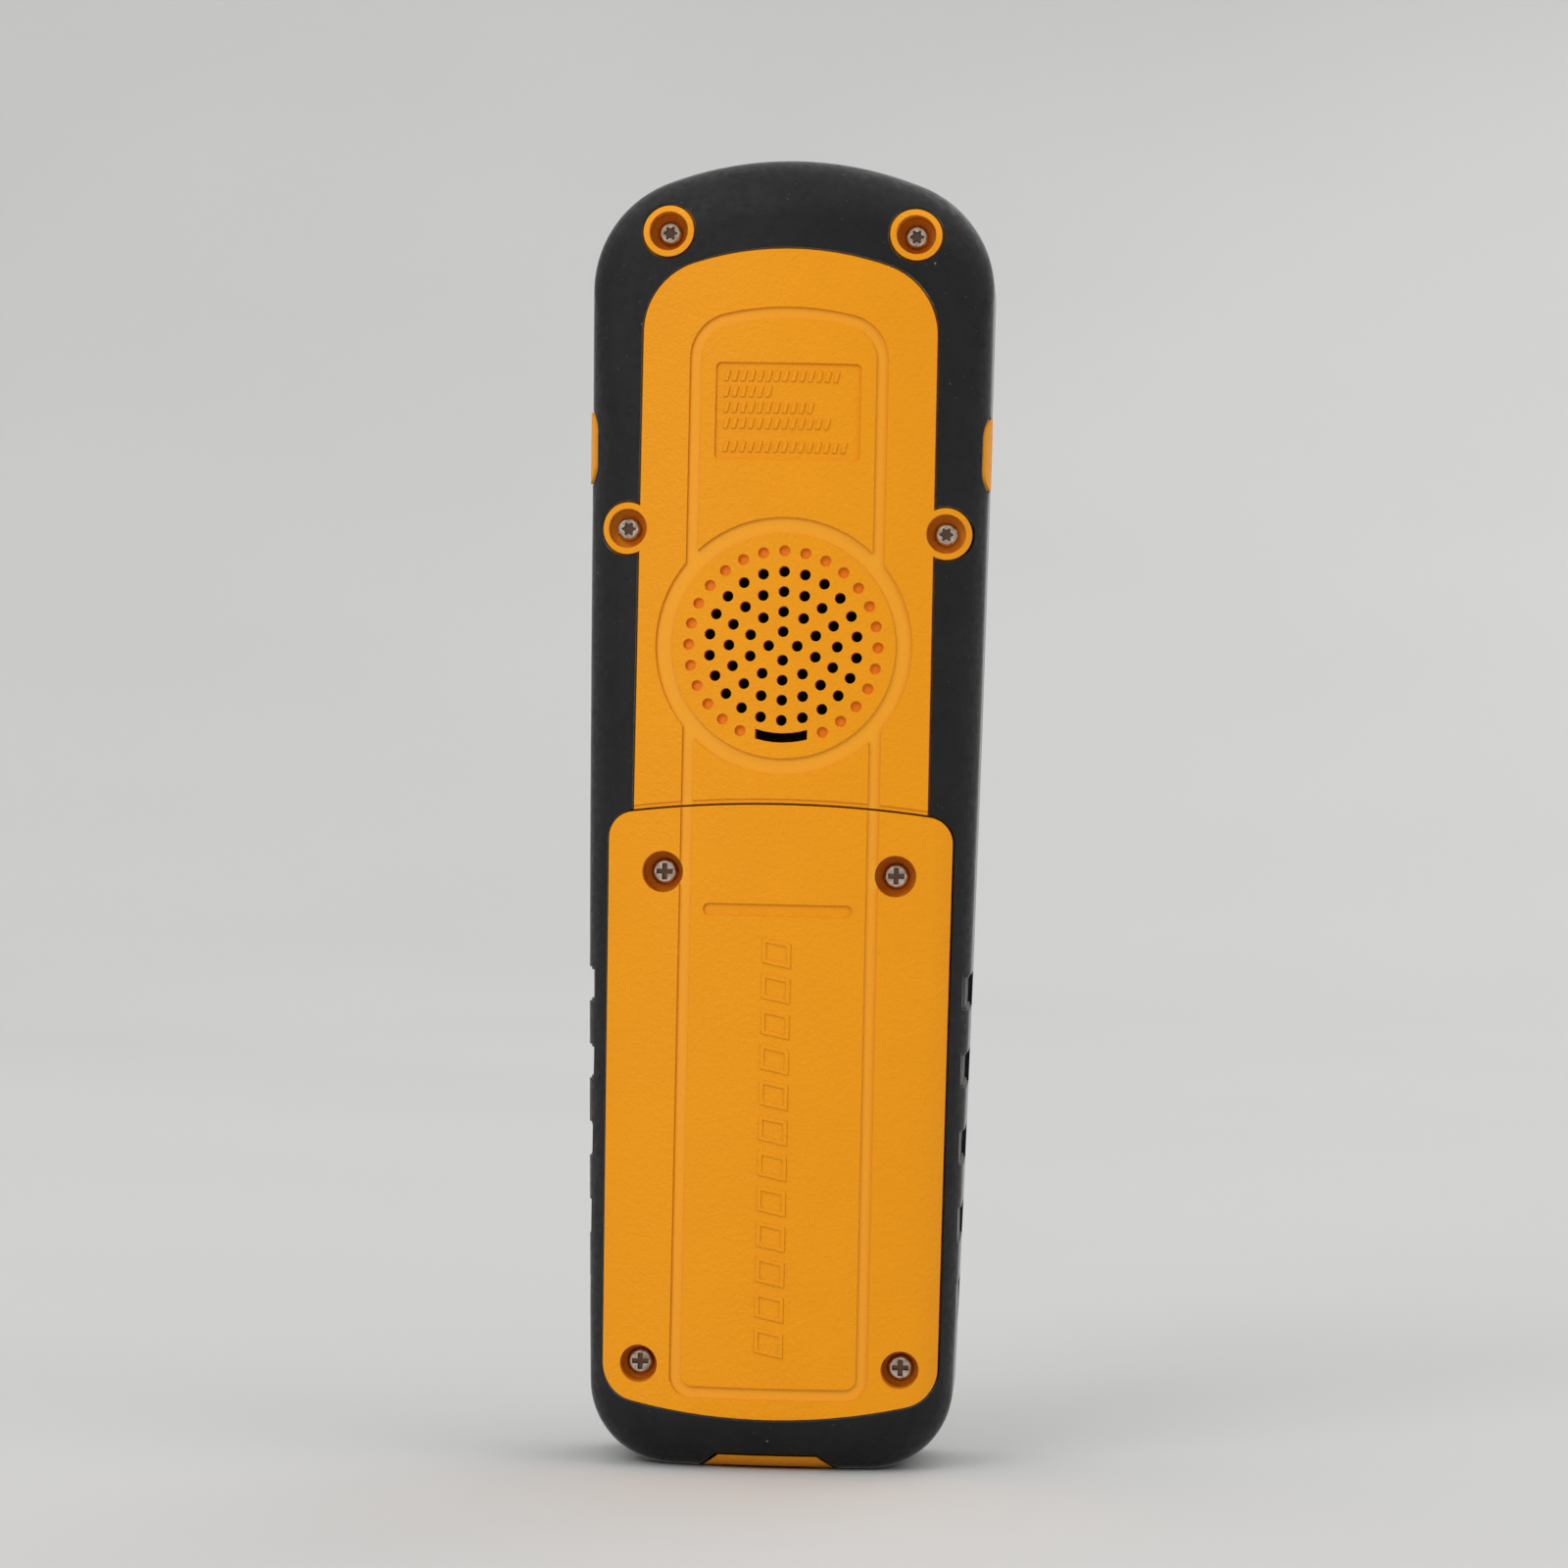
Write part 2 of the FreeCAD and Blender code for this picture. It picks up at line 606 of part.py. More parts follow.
def speaker_seat():
    """A ledge that the loudspeaker's gasket is pressed to, inside a round wall that centres the rim."""
    outer = SPEAKER_BORE_R + SPEAKER_WALL
    wall = rod(0, SPEAKER_Z, outer, SPEAKER_Y - SPEAKER_WALL_DROP, BEYOND)
    wall = wall.cut(rod(0, SPEAKER_Z, SPEAKER_BORE_R, SPEAKER_Y - SPEAKER_WALL_DROP - 1, SPEAKER_Y))
    return wall.cut(rod(0, SPEAKER_Z, SPEAKER_R - SPEAKER_LEDGE, SPEAKER_Y - 1, BEYOND))


def grille_holes():
    holes = []
    for radius, count in HOLE_RINGS:
        for i in range(count):
            turn = 2 * math.pi * i / count
            x, z = radius * math.sin(turn), SPEAKER_Z + radius * math.cos(turn)
            holes.append(rod(x, z, HOLE_R, SPEAKER_Y - 1, BEYOND))
    return holes


def grille_blind_dots():
    """The outermost ring of shallow dots, without the lowest three."""
    radius, count = BLIND_RING
    dots = []
    for i in range(count):
        turn = 2 * math.pi * i / count
        if math.cos(turn) > -math.cos(1.5 * 2 * math.pi / count):
            x, z = radius * math.sin(turn), SPEAKER_Z + radius * math.cos(turn)
            dots.append(rod(x, z, HOLE_R, 0, BEYOND))
    return Part.makeCompound(dots).cut(blank(BLIND_DEPTH))


def drain_slot():
    """A curved slot in place of the lowest blind dots, open down to the membrane."""
    inner = DRAIN_DROP - DRAIN_TALL / 2
    y0 = SPEAKER_Y - 1
    band = rod(0, SPEAKER_Z, inner + DRAIN_TALL, y0, BEYOND).cut(rod(0, SPEAKER_Z, inner, y0, BEYOND))
    low = SPEAKER_Z - DRAIN_DROP - DRAIN_TALL
    return band.common(box(-DRAIN_HALF, DRAIN_HALF, y0, BEYOND, low, SPEAKER_Z))


def side_key_flange_x():
    """Outer face of the side key's flange, just inside the case wall beside it."""
    return HALF_TOP - INSIDE - SIDE_FLANGE_IN


def switch_face_x():
    """Face of the switch that the side key presses."""
    return side_key_flange_x() - SIDE_FLANGE_T - SIDE_TRAVEL - SWITCH_SLACK - SWITCH_NUB_T


def side_key_openings():
    x_flange = side_key_flange_x()
    hole = side_key_form(SIDE_KEY_GAP, x_flange - 1, HALF_TOP + 2)
    half_z = SIDE_KEY_LENGTH / 2 + SIDE_FLANGE + SIDE_POCKET_GAP
    half_y = SIDE_KEY_HALF + SIDE_POCKET_GAP
    room = box(switch_face_x() - SWITCH_T, x_flange + SIDE_POCKET_GAP, SIDE_KEY_Y - half_y,
               SIDE_KEY_Y + half_y, SIDE_KEY_Z - half_z, SIDE_KEY_Z + half_z)
    return both(hole) + both(room)


def switch_brackets():
    x = switch_face_x() - SWITCH_T
    half = SIDE_KEY_LENGTH / 2
    bracket = box(x - SWITCH_WALL, x, SIDE_KEY_Y - SIDE_KEY_HALF, BEYOND, SIDE_KEY_Z - half,
                  SIDE_KEY_Z + half)
    return both(bracket)


def contact_form(grow):
    z0 = FOOT_RECESS_DEPTH - (1 if grow else 0)
    return box(CONTACT_X - CONTACT_HALF - grow, CONTACT_X + CONTACT_HALF + grow, CONTACT_Y - grow,
               CONTACT_Y + CONTACT_DEPTH + grow, z0, CONTACT_RISE + (1 if grow else 0))


def leaning(x, z, half, tall, slant):
    """A leaning four-sided mark on the back, as (x, z) points."""
    return [(x - half, z - tall / 2), (x + half, z - tall / 2), (x + half - slant, z + tall / 2),
            (x - half - slant, z + tall / 2)]


def label_strokes():
    """Rows of plain leaning strokes that stand for the moulded label."""
    strokes = []
    for up, count in LABEL_ROWS:
        for i in range(count):
            x = LABEL_WIDTH / 2 - LABEL_MARGIN - i * LABEL_STROKE_PITCH
            z = LENGTH - LABEL_DOWN + up
            form = leaning(x, z, LABEL_STROKE_WIDTH / 2, LABEL_STROKE_TALL, LABEL_STROKE_SLANT)
            strokes.append(drawn(form, 0, BEYOND))
    raised = Part.makeCompound(strokes).common(blank(LABEL_DEPTH - LABEL_STROKE_RISE))
    return raised.cut(blank(LABEL_DEPTH + LABEL_STROKE_RISE)).Solids


def rear_case():
    form = blank(OVERMOULD).fuse(blank(0).common(yellow_parts(0)))
    seat = cover_outline(EDGE_GAP, SKIRT - EDGE_GAP).cut(blank(DECK))
    lip = cover_outline(EDGE_GAP, 0, PANEL_LIP).cut(blank(PANEL_LIP_DEPTH))
    form = form.cut(seat).cut(lip)
    inner = blank(INSIDE)
    under_deck = [t.common(blank(DECK)) for t in cover_pillars() + battery_tray()]
    above = [t.common(form) for t in screw_tubes() + switch_brackets() + [speaker_seat()]]
    shell = form.cut(inner).common(rear_part())
    shell = shell.fuse(under_deck + above)
    tray = box(-TRAY_HALF, TRAY_HALF, TRAY_FLOOR, BEYOND, TRAY_LOW, TRAY_HIGH)
    label = slab(0, LENGTH - LABEL_DOWN, LABEL_WIDTH, LABEL_HEIGHT, LABEL_CORNER_R, 0, BEYOND)
    label = label.cut(blank(LABEL_DEPTH))
    recess = box(-FOOT_RECESS_HALF, FOOT_RECESS_HALF, PARTING - 1, BEYOND, -1, FOOT_RECESS_DEPTH)
    cuts = [tray, label, recess, moulded_groove(), seal_loop(0, SEAL_Y, BEYOND)]
    cuts += [grille_blind_dots(), drain_slot()] + grille_holes() + screw_holes() + cover_pillar_holes()
    cuts += side_key_openings()
    cuts += both(contact_form(0.001))
    return shell.cut(cuts).fuse(label_strokes())


# Rubber skins

def grip_recesses():
    recesses = []
    for half, depth in ((GRIP_HALF, GRIP_DEPTH), (GRIP_HALF + GRIP_BEVEL, GRIP_DEPTH / 2)):
        blocks = []
        for i in range(GRIP_COUNT):
            z = GRIP_FIRST_Z + i * GRIP_PITCH
            blocks += both(box(HALF_WAIST - GRIP_EDGE, WIDTH, FRONT + GRIP_FRONT, BEYOND, z - half, z + half))
        recesses.append(Part.makeCompound(blocks).cut(blank(depth)))
    return recesses


def rear_bumper():
    skin = blank(0).common(rear_part(BUMPER_SEAM / 2)).cut(blank(OVERMOULD))
    keys = both(side_key_form(SIDE_KEY_GAP, 0, WIDTH))
    cuts = [yellow_parts(SHADOW_GAP), cover_outline(EDGE_GAP, SKIRT - EDGE_GAP)] + keys + grip_recesses()
    return skin.cut(cuts)


def front_bumper():
    skin = blank(0).common(front_part(BUMPER_SEAM / 2)).cut(blank(OVERMOULD))
    return skin.cut([body_outline(FACE_RING_OUT - FACE_GAP, FRONT - 1, PARTING)] + grip_recesses())


# Battery cover

def mark_form(z, inset):
    half, low, high = MARK_HALF - inset, z + inset, z + MARK_TALL - inset
    lean = MARK_SLANT * half / MARK_HALF / 2
    corners = [(-half, low - lean), (half, low + lean), (half, high + lean), (-half, high - lean)]
    return drawn(corners, 0, BEYOND)


def cover_marks():
    """A column of plain outlined marks, raised from the cover."""
    marks = []
    for i in range(MARK_COUNT):
        z = COVER_FOOT + MARK_FIRST_UP + i * MARK_PITCH
        marks.append(mark_form(z, 0).cut(mark_form(z, MARK_LINE)))
    return Part.makeCompound(marks).common(blank(-MARK_RISE)).cut(blank(COVER_T / 2)).Solids


def battery_cover():
    skin = blank(0).common(cover_outline(0, SKIRT)).cut(blank(COVER_T))
    tubes = []
    holes = []
    for x, z, pocket in COVER_SCREWS:
        tubes += both(rod(x, z, pocket + COVER_TUBE_WALL, SEAT_Y - COVER_TUBE_FLOOR, BEYOND).common(blank(0)))
        holes += both(rod(x, z, pocket, SEAT_Y, BEYOND))
        holes += both(rod(x, z, SCREW_R + SCREW_CLEAR, SEAT_Y - COVER_TUBE_FLOOR - 1, BEYOND))
    rib = seal_loop(2 * SEAL_FIT, SEAL_Y + SEAL_T, BEYOND).common(blank(COVER_T / 2))
    bar = slab(0, COVER_TOP - BAR_DOWN, BAR_WIDTH, BAR_HEIGHT, BAR_HEIGHT / 2 - 0.01, 0, BEYOND)
    cover = skin.fuse(tubes + [rib] + cover_marks())
    return cover.cut(holes + [moulded_groove(), bar.cut(blank(BAR_DEPTH))])


def cover_seal():
    return seal_loop(SEAL_FIT, SEAL_Y + 0.05, SEAL_Y + SEAL_T)


def cover_foam():
    """A foam strip on the cover that steadies the battery."""
    low = CELL_Y + SLEEVE_R + 0.15
    strip = slab(0, (CELL_LOW + CELL_HIGH) / 2, CELL_R, CELL_LENGTH / 2, 1.0, low, BEYOND)
    return strip.common(blank(COVER_T))


def cross_recess(x, z, y, size):
    """A Phillips recess: two crossed tapering slots, cut down from y."""
    arms = []
    for wide, tall in ((size, size * 0.3), (size * 0.3, size)):
        arms.append(box(x - wide / 2, x + wide / 2, y - size * 0.45, y + 1, z - tall / 2, z + tall / 2))
    return arms


def pan_screw(x, z, head_r, head_t, length):
    """A screw that points along -Y, with its head on the screw seat."""
    top = SEAT_Y + head_t
    head = turned(x, z, [(0, SEAT_Y), (head_r, SEAT_Y), (head_r, top - head_t * 0.3),
                         (head_r * 0.94, top - head_t * 0.1), (head_r * 0.78, top), (0, top)])
    return head.fuse(rod(x, z, SCREW_R, SEAT_Y - length, SEAT_Y))


def cover_screws():
    screws = []
    for x, z, pocket in COVER_SCREWS:
        length = SEAT_Y - tube_floor() + INSERT_LENGTH - COVER_SCREW_TIP_GAP
        screw = pan_screw(x, z, COVER_SCREW_HEAD_R, COVER_SCREW_HEAD_T, length)
        screw = screw.cut(cross_recess(x, z, SEAT_Y + COVER_SCREW_HEAD_T, COVER_SCREW_HEAD_R * 1.25))
        screws += both(screw)
    return Part.makeCompound(screws)


def cover_inserts():
    inserts = []
    for x, z, pocket in COVER_SCREWS:
        low = tube_floor() - INSERT_LENGTH
        body = rod(x, z, INSERT_R, low, tube_floor())
        inserts += both(body.cut(rod(x, z, INSERT_BORE_R, low - 1, tube_floor() + 1)))
    return Part.makeCompound(inserts)


# Case screws, inserts and seal

def case_screws():
    """Screws with a six-lobed recess."""
    screws = []
    length = SEAT_Y - PARTING + SCREW_TIP
    for x, z in CASE_SCREWS_SEEN + CASE_SCREWS_HIDDEN:
        screw = pan_screw(x, z, SCREW_HEAD_R, SCREW_HEAD_T, length)
        top = SEAT_Y + SCREW_HEAD_T
        lobes = [rod(x, z, SCREW_HEAD_R * 0.42, top - 0.8, top + 1)]
        for i in range(6):
            turn = math.pi * i / 3
            across, up = SCREW_HEAD_R * 0.46 * math.cos(turn), SCREW_HEAD_R * 0.46 * math.sin(turn)
            lobes.append(rod(x + across, z + up, 0.2, top - 0.8, top + 1))
        screws += both(screw.cut(lobes))
    return Part.makeCompound(screws)


def case_inserts():
    inserts = []
    for x, z in CASE_SCREWS_SEEN + CASE_SCREWS_HIDDEN:
        low = PARTING - INSERT_LENGTH
        body = rod(x, z, INSERT_R, low, PARTING - 0.1)
        inserts += both(body.cut(rod(x, z, INSERT_BORE_R, low - 1, PARTING + 1)))
    return Part.makeCompound(inserts)


def case_seal(grow=0.0):
    out = OVERMOULD + CASE_SEAL_IN
    loop = body_outline(out, PARTING - CASE_SEAL_DEPTH, PARTING + grow)
    return loop.cut(body_outline(out + CASE_SEAL_WIDTH, PARTING - CASE_SEAL_DEPTH - 1, PARTING + 1))


# Battery, lead and socket

def battery_cells():
    cells = []
    for x, way in ((-CELL_X, 1), (CELL_X, -1)):
        low = V(x, CELL_Y, CELL_LOW + (way < 0) * CELL_NUB_T)
        can = Part.makeCylinder(CELL_R, CELL_LENGTH - CELL_NUB_T, low, V(0, 0, 1))
        rims = [e for e in can.Edges if len(e.Vertexes) == 1]
        can = can.makeFillet(0.4, rims)
        nub_z = CELL_HIGH - CELL_NUB_T if way > 0 else CELL_LOW
        cells.append(can.fuse(Part.makeCylinder(CELL_NUB_R, CELL_NUB_T, V(x, CELL_Y, nub_z), V(0, 0, 1))))
    return Part.makeCompound(cells)


def stadium(radius, z0, z1):
    """A flat-sided oval round both cells, along Z."""
    ends = [Part.makeCylinder(radius, z1 - z0, V(x, CELL_Y, z0), V(0, 0, 1)) for x in (-CELL_X, CELL_X)]
    return box(-CELL_X, CELL_X, CELL_Y - radius, CELL_Y + radius, z0, z1).fuse(ends)


def battery_sleeve():
    """A shrunk sleeve with its ends turned in over the cells."""
    outer = stadium(SLEEVE_R, CELL_LOW - SLEEVE_T - 0.05, CELL_HIGH + SLEEVE_T + 0.05)
    inner = stadium(CELL_R + SLEEVE_FIT, CELL_LOW - 0.05, CELL_HIGH + 0.05)
    mouth = stadium(CELL_R * 0.72, CELL_LOW - 1, CELL_HIGH + 1)
    return outer.cut([inner, mouth])


def plug_z():
    """Middle of the plug along the handset."""
    return TRAY_HIGH - 0.3 - SOCKET_WALL - PLUG_FIT - PLUG_T / 2


def lead(side):
    """A wire from a cell's end to the plug: straight runs joined by tangent arcs, in one plane."""
    y = TRAY_FLOOR + SOCKET_TALL + LEAD_R + 0.35
    start = CELL_HIGH + 0.05
    turn_z = (start + plug_z() - PLUG_T / 2) / 2
    bend = 0.45 * (CELL_X - LEAD_X)
    x0, x1 = side * CELL_X, side * LEAD_X
    across = math.copysign(bend, side)
    quarter = bend * math.sqrt(0.5)
    low = V(x0, y, turn_z - bend)
    low_mid = V(x0 - across + math.copysign(quarter, side), y, turn_z - bend + quarter)
    low_end = V(x0 - across, y, turn_z)
    high = V(x1 + across, y, turn_z)
    high_mid = V(x1 + across - math.copysign(quarter, side), y, turn_z + bend - quarter)
    high_end = V(x1, y, turn_z + bend)
    first, last = V(x0, y, start), V(x1, y, plug_z() - PLUG_T / 2)
    path = Part.Wire([
        Part.LineSegment(first, low).toShape(), Part.Arc(low, low_mid, low_end).toShape(),
        Part.LineSegment(low_end, high).toShape(), Part.Arc(high, high_mid, high_end).toShape(),
        Part.LineSegment(high_end, last).toShape()])
    ring = Part.Wire([Part.makeCircle(LEAD_R, first, V(0, 0, 1))])
    return path.makePipeShell([ring], True, False)


def lead_plug():
    z = plug_z()
    y0 = TRAY_FLOOR + SOCKET_FLOOR + PLUG_FIT
    body = slab(0, z, 2 * PLUG_HALF, PLUG_T, 0.2, y0, y0 + PLUG_TALL)
    top = y0 + PLUG_TALL
    deep = PLUG_T / 2 - 0.3
    ribs = [box(x - 0.3, x + 0.3, top, top + 0.3, z - deep, z + deep) for x in (-LEAD_X, 0, LEAD_X)]
    return body.fuse(ribs)


def battery_socket():
    z = plug_z()
    half = PLUG_HALF + PLUG_FIT + SOCKET_WALL
    deep = PLUG_T / 2 + PLUG_FIT + SOCKET_WALL
    body = box(-half, half, TRAY_FLOOR, TRAY_FLOOR + SOCKET_TALL, z - deep, z + deep)
    mouth = box(-half + SOCKET_WALL, half - SOCKET_WALL, TRAY_FLOOR + SOCKET_FLOOR, BEYOND,
                z - deep + SOCKET_WALL, z + deep - SOCKET_WALL)
    return body.cut(mouth)


def charge_contacts():
    return Part.makeCompound(both(contact_form(0)))


# Front case and what shows on it

def key_places():
    places = {}
    for name, (column, row) in DIGITS.items():
        x, z = column * DIGIT_PITCH_X, DIGIT_LOW_Z + row * DIGIT_PITCH_Z
        places["key_" + name] = (x, z, DIGIT_WIDTH, DIGIT_HEIGHT)
    for name, (side, z) in CALL_KEYS.items():
        places["key_" + name] = (side * CALL_X, z, CALL_WIDTH, CALL_HEIGHT)
    return places


def face_holes(y0, y1):
    """Openings that run through the face plate and the front case alike."""
    holes = [slab(x, z, w + 2 * KEY_GAP, h + 2 * KEY_GAP, DIGIT_CORNER_R + KEY_GAP, y0, y1)
             for x, z, w, h in key_places().values()]
    holes.append(rod(0, NAV_Z, NAV_R + NAV_GAP, y0, y1))
    holes.append(rod(0, MIC_Z, MIC_HOLE_R, y0, y1))
    for i in range(EAR_SLOTS):
        z = EARPIECE_Z + (i - (EAR_SLOTS - 1) / 2) * EAR_SLOT_PITCH
        holes.append(slab(0, z, EAR_SLOT_WIDTH, EAR_SLOT_TALL, EAR_SLOT_TALL / 2 - 0.01, y0, y1))
    return holes


def screw_posts(grow):
    posts = []
    for x, z in CASE_SCREWS_SEEN + CASE_SCREWS_HIDDEN:
        posts += both(rod(x, z, CASE_POST_R + grow, FRONT, PARTING))
    return posts


def board_rests():
    rests = []
    for z in BOARD_REST_Z:
        rests += both(rod(BOARD_REST_X, z, BOARD_REST_R, FRONT + OVERMOULD, BOARD_Y))
    return rests


def front_case():
    form = blank(OVERMOULD)
    ring = body_outline(FACE_RING_OUT, FRONT - 1, INNER_FRONT)
    ring = ring.cut(body_outline(FACE_RING_IN, FRONT - 2, INNER_FRONT + 1))
    room = blank(INSIDE).cut(screw_posts(0) + board_rests())
    shell = form.common(front_part()).cut(room).fuse([ring.common(blank(0))] + nav_lugs())
    cuts = face_holes(FRONT - 1, INNER_FRONT + 1) + [case_seal(1.0)]
    cuts.append(slab(0, DISPLAY_Z, VIEW_WIDTH, VIEW_HEIGHT, VIEW_CORNER_R, FRONT - 1, INNER_FRONT + 1))
    for x, z in CASE_SCREWS_SEEN + CASE_SCREWS_HIDDEN:
        cuts += both(rod(x, z, INSERT_R, PARTING - INSERT_LENGTH, PARTING + 1))
        cuts += both(rod(x, z, SCREW_R + SCREW_CLEAR, PARTING - SCREW_TIP - 0.4, PARTING))
    return shell.cut(cuts)


def face_plate():
    plate = body_outline(FACE_RING_IN + FACE_GAP, FRONT, FRONT + OVERMOULD)
    window = slab(0, DISPLAY_Z, WINDOW_WIDTH + 2 * FACE_GAP, WINDOW_HEIGHT + 2 * FACE_GAP,
                  WINDOW_CORNER_R + FACE_GAP, FRONT - 1, BACK)
    return plate.cut(face_holes(FRONT - 1, FRONT + OVERMOULD + 1) + [window])


def display_window():
    return slab(0, DISPLAY_Z, WINDOW_WIDTH, WINDOW_HEIGHT, WINDOW_CORNER_R, FRONT + WINDOW_SUNK,
                FRONT + OVERMOULD)


def lcd_module():
    y = INNER_FRONT + LCD_FIT
    return slab(0, DISPLAY_Z, LCD_WIDTH, LCD_HEIGHT, 0.5, y, y + LCD_T)


def lcd_frame():
    wide, tall = LCD_WIDTH + 2 * LCD_FIT, LCD_HEIGHT + 2 * LCD_FIT
    outer = slab(0, DISPLAY_Z, wide + 2 * LCD_FRAME_WALL, tall + 2 * LCD_FRAME_WALL, 1.0,
                 INNER_FRONT + LCD_FIT, BOARD_Y)
    pocket = slab(0, DISPLAY_Z, wide, tall, 0.5, INNER_FRONT - 1, INNER_FRONT + LCD_FIT + LCD_T)
    return outer.cut(pocket)


# Keypad

def key_cap(x, z, width, height):
    """A key with a flange that stops it from behind."""
    cap = slab(x, z, width, height, DIGIT_CORNER_R, FRONT - KEY_PROUD, KEY_FLANGE_Y + KEY_FLANGE_T)
    top = [f for f in cap.Faces if f.CenterOfMass.y < FRONT - KEY_PROUD + 0.01]
    cap = cap.makeFillet(KEY_EDGE_R, top[0].Edges)
    flange = slab(x, z, width + 2 * KEY_FLANGE, height + 2 * KEY_FLANGE, DIGIT_CORNER_R + KEY_FLANGE,
                  KEY_FLANGE_Y, KEY_FLANGE_Y + KEY_FLANGE_T)
    return cap.fuse(flange)


def nav_pin(grow):
    """One of the two pins along X that the rocker turns on."""
    start = V(NAV_R + NAV_FLANGE / 2, NAV_PIN_Y, NAV_Z)
    return Part.makeCylinder(NAV_PIN_R + grow, NAV_FLANGE / 2 + NAV_PIN_OUT + 2 * grow, start, V(1, 0, 0))


def nav_lugs():
    """Lugs on the case wall, each with a slot that holds a pin and is open behind."""
    x0 = NAV_R + NAV_FLANGE + NAV_LUG_GAP
    back = INNER_FRONT + NAV_LUG_DEEP
    half = NAV_PIN_R + NAV_PIN_FIT
    lug = box(x0, x0 + NAV_LUG_T, INNER_FRONT - 0.5, back, NAV_Z - NAV_LUG_HALF, NAV_Z + NAV_LUG_HALF)
    slot = box(x0 - 1, x0 + NAV_LUG_T + 1, NAV_PIN_Y, back + 1, NAV_Z - half, NAV_Z + half)
    return both(lug.cut([nav_pin(NAV_PIN_FIT), slot]))


def nav_rocker():
    """A ring that rocks up and down about the select key, on two pins."""
    top = FRONT - KEY_PROUD
    flange_y = INNER_FRONT + NAV_FLANGE_GAP
    back = flange_y + NAV_FLANGE_T
    ring = turned(0, NAV_Z, [
        (NAV_BORE_R, back), (NAV_R + NAV_FLANGE, back), (NAV_R + NAV_FLANGE, flange_y), (NAV_R, flange_y),
        (NAV_R, top + 0.5), (NAV_R - 0.5, top), (NAV_BORE_R + 1.6, top + 0.35), (NAV_BORE_R, top + 0.5)])
    return ring.fuse(both(nav_pin(0)))


def key_select():
    top = FRONT - KEY_PROUD
    return turned(0, NAV_Z, [(0, KEY_FLANGE_Y + KEY_FLANGE_T), (SELECT_R, KEY_FLANGE_Y + KEY_FLANGE_T),
                             (SELECT_R, top + 0.4), (SELECT_R - 0.4, top), (0, top)])


def keypad_sheet(y0, y1):
    middle = (MAT_LOW + MAT_HIGH) / 2
    return slab(0, middle, 2 * MAT_HALF, MAT_HIGH - MAT_LOW, 2.0, y0, y1)


def press_points():
    return [(x, z) for x, z, w, h in key_places().values()] + [(0, NAV_Z)]


def keypad_mat():
    sheet = keypad_sheet(MAT_Y, DOME_SHEET_Y)
    bumps = [rod(x, z, MAT_BUMP_R, MAT_BUMP_Y, MAT_Y) for x, z in press_points()]
    low = DOME_SHEET_Y - DOME_T - 0.15
    hollows = [rod(x, z, DOME_R + 0.4, low, DOME_SHEET_Y + 1) for x, z in press_points()]
    return sheet.fuse(bumps).cut(hollows)


def dome_sheet():
    sheet = keypad_sheet(DOME_SHEET_Y, BOARD_Y)
    rise = [(0, DOME_SHEET_Y), (DOME_R, DOME_SHEET_Y), (DOME_R * 0.7, DOME_SHEET_Y - DOME_T * 0.8),
            (0, DOME_SHEET_Y - DOME_T)]
    domes = [turned(x, z, rise) for x, z in press_points()]
    return sheet.fuse(domes)


# Inside the case

def main_board():
    board = body_outline(INSIDE + BOARD_FIT, BOARD_Y, BOARD_BACK)
    return board.cut(screw_posts(SHADOW_GAP))


def shield_can():
    z = LENGTH - SHIELD_DOWN
    outer = slab(0, z, SHIELD_WIDTH, SHIELD_HEIGHT, 1.0, BOARD_BACK, BOARD_BACK + SHIELD_T)
    wall = 2 * SHIELD_WALL
    inner = slab(0, z, SHIELD_WIDTH - wall, SHIELD_HEIGHT - wall, 0.7, BOARD_BACK - 1,
                 BOARD_BACK + SHIELD_T - SHIELD_WALL)
    return outer.cut(inner)


def antenna():
    """A sheet-metal strip held above the board on two legs."""
    top = LENGTH - ANTENNA_DOWN
    y = BOARD_BACK + ANTENNA_RISE
    strip = box(-ANTENNA_HALF, ANTENNA_HALF, y, y + ANTENNA_T, top - ANTENNA_TALL, top)
    slot = box(-ANTENNA_HALF + 4, ANTENNA_HALF + 1, y - 1, y + 1, top - 3.4, top - 2.2)
    foot = top - ANTENNA_TALL
    legs = [box(x, x + ANTENNA_LEG, BOARD_BACK, y + ANTENNA_T, foot, foot + ANTENNA_T)
            for x in (-ANTENNA_HALF, -ANTENNA_HALF + 6)]
    return strip.cut(slot).fuse(legs)


def speaker_membrane():
    return rod(0, SPEAKER_Z, SPEAKER_R, SPEAKER_Y - MEMBRANE_T, SPEAKER_Y)


def speaker_gasket():
    y1 = SPEAKER_Y - MEMBRANE_T
    ring = rod(0, SPEAKER_Z, SPEAKER_R, y1 - GASKET_T, y1)
    return ring.cut(rod(0, SPEAKER_Z, SPEAKER_R - SPEAKER_LEDGE, y1 - GASKET_T - 1, y1 + 1))


def speaker_rim_y():
    return SPEAKER_Y - MEMBRANE_T - GASKET_T


def speaker_frame():
    rim = speaker_rim_y()
    step = rim - SPEAKER_RIM_T
    low = step - BASKET_DEPTH
    bore = SPEAKER_R - SPEAKER_LEDGE
    return turned(0, SPEAKER_Z, [
        (bore, rim), (SPEAKER_R, rim), (SPEAKER_R, step), (bore + 0.4, step), (BASKET_R, low), (4.0, low),
        (4.0, low + 0.6), (BASKET_R - 0.5, low + 0.6), (bore - 0.3, step)])


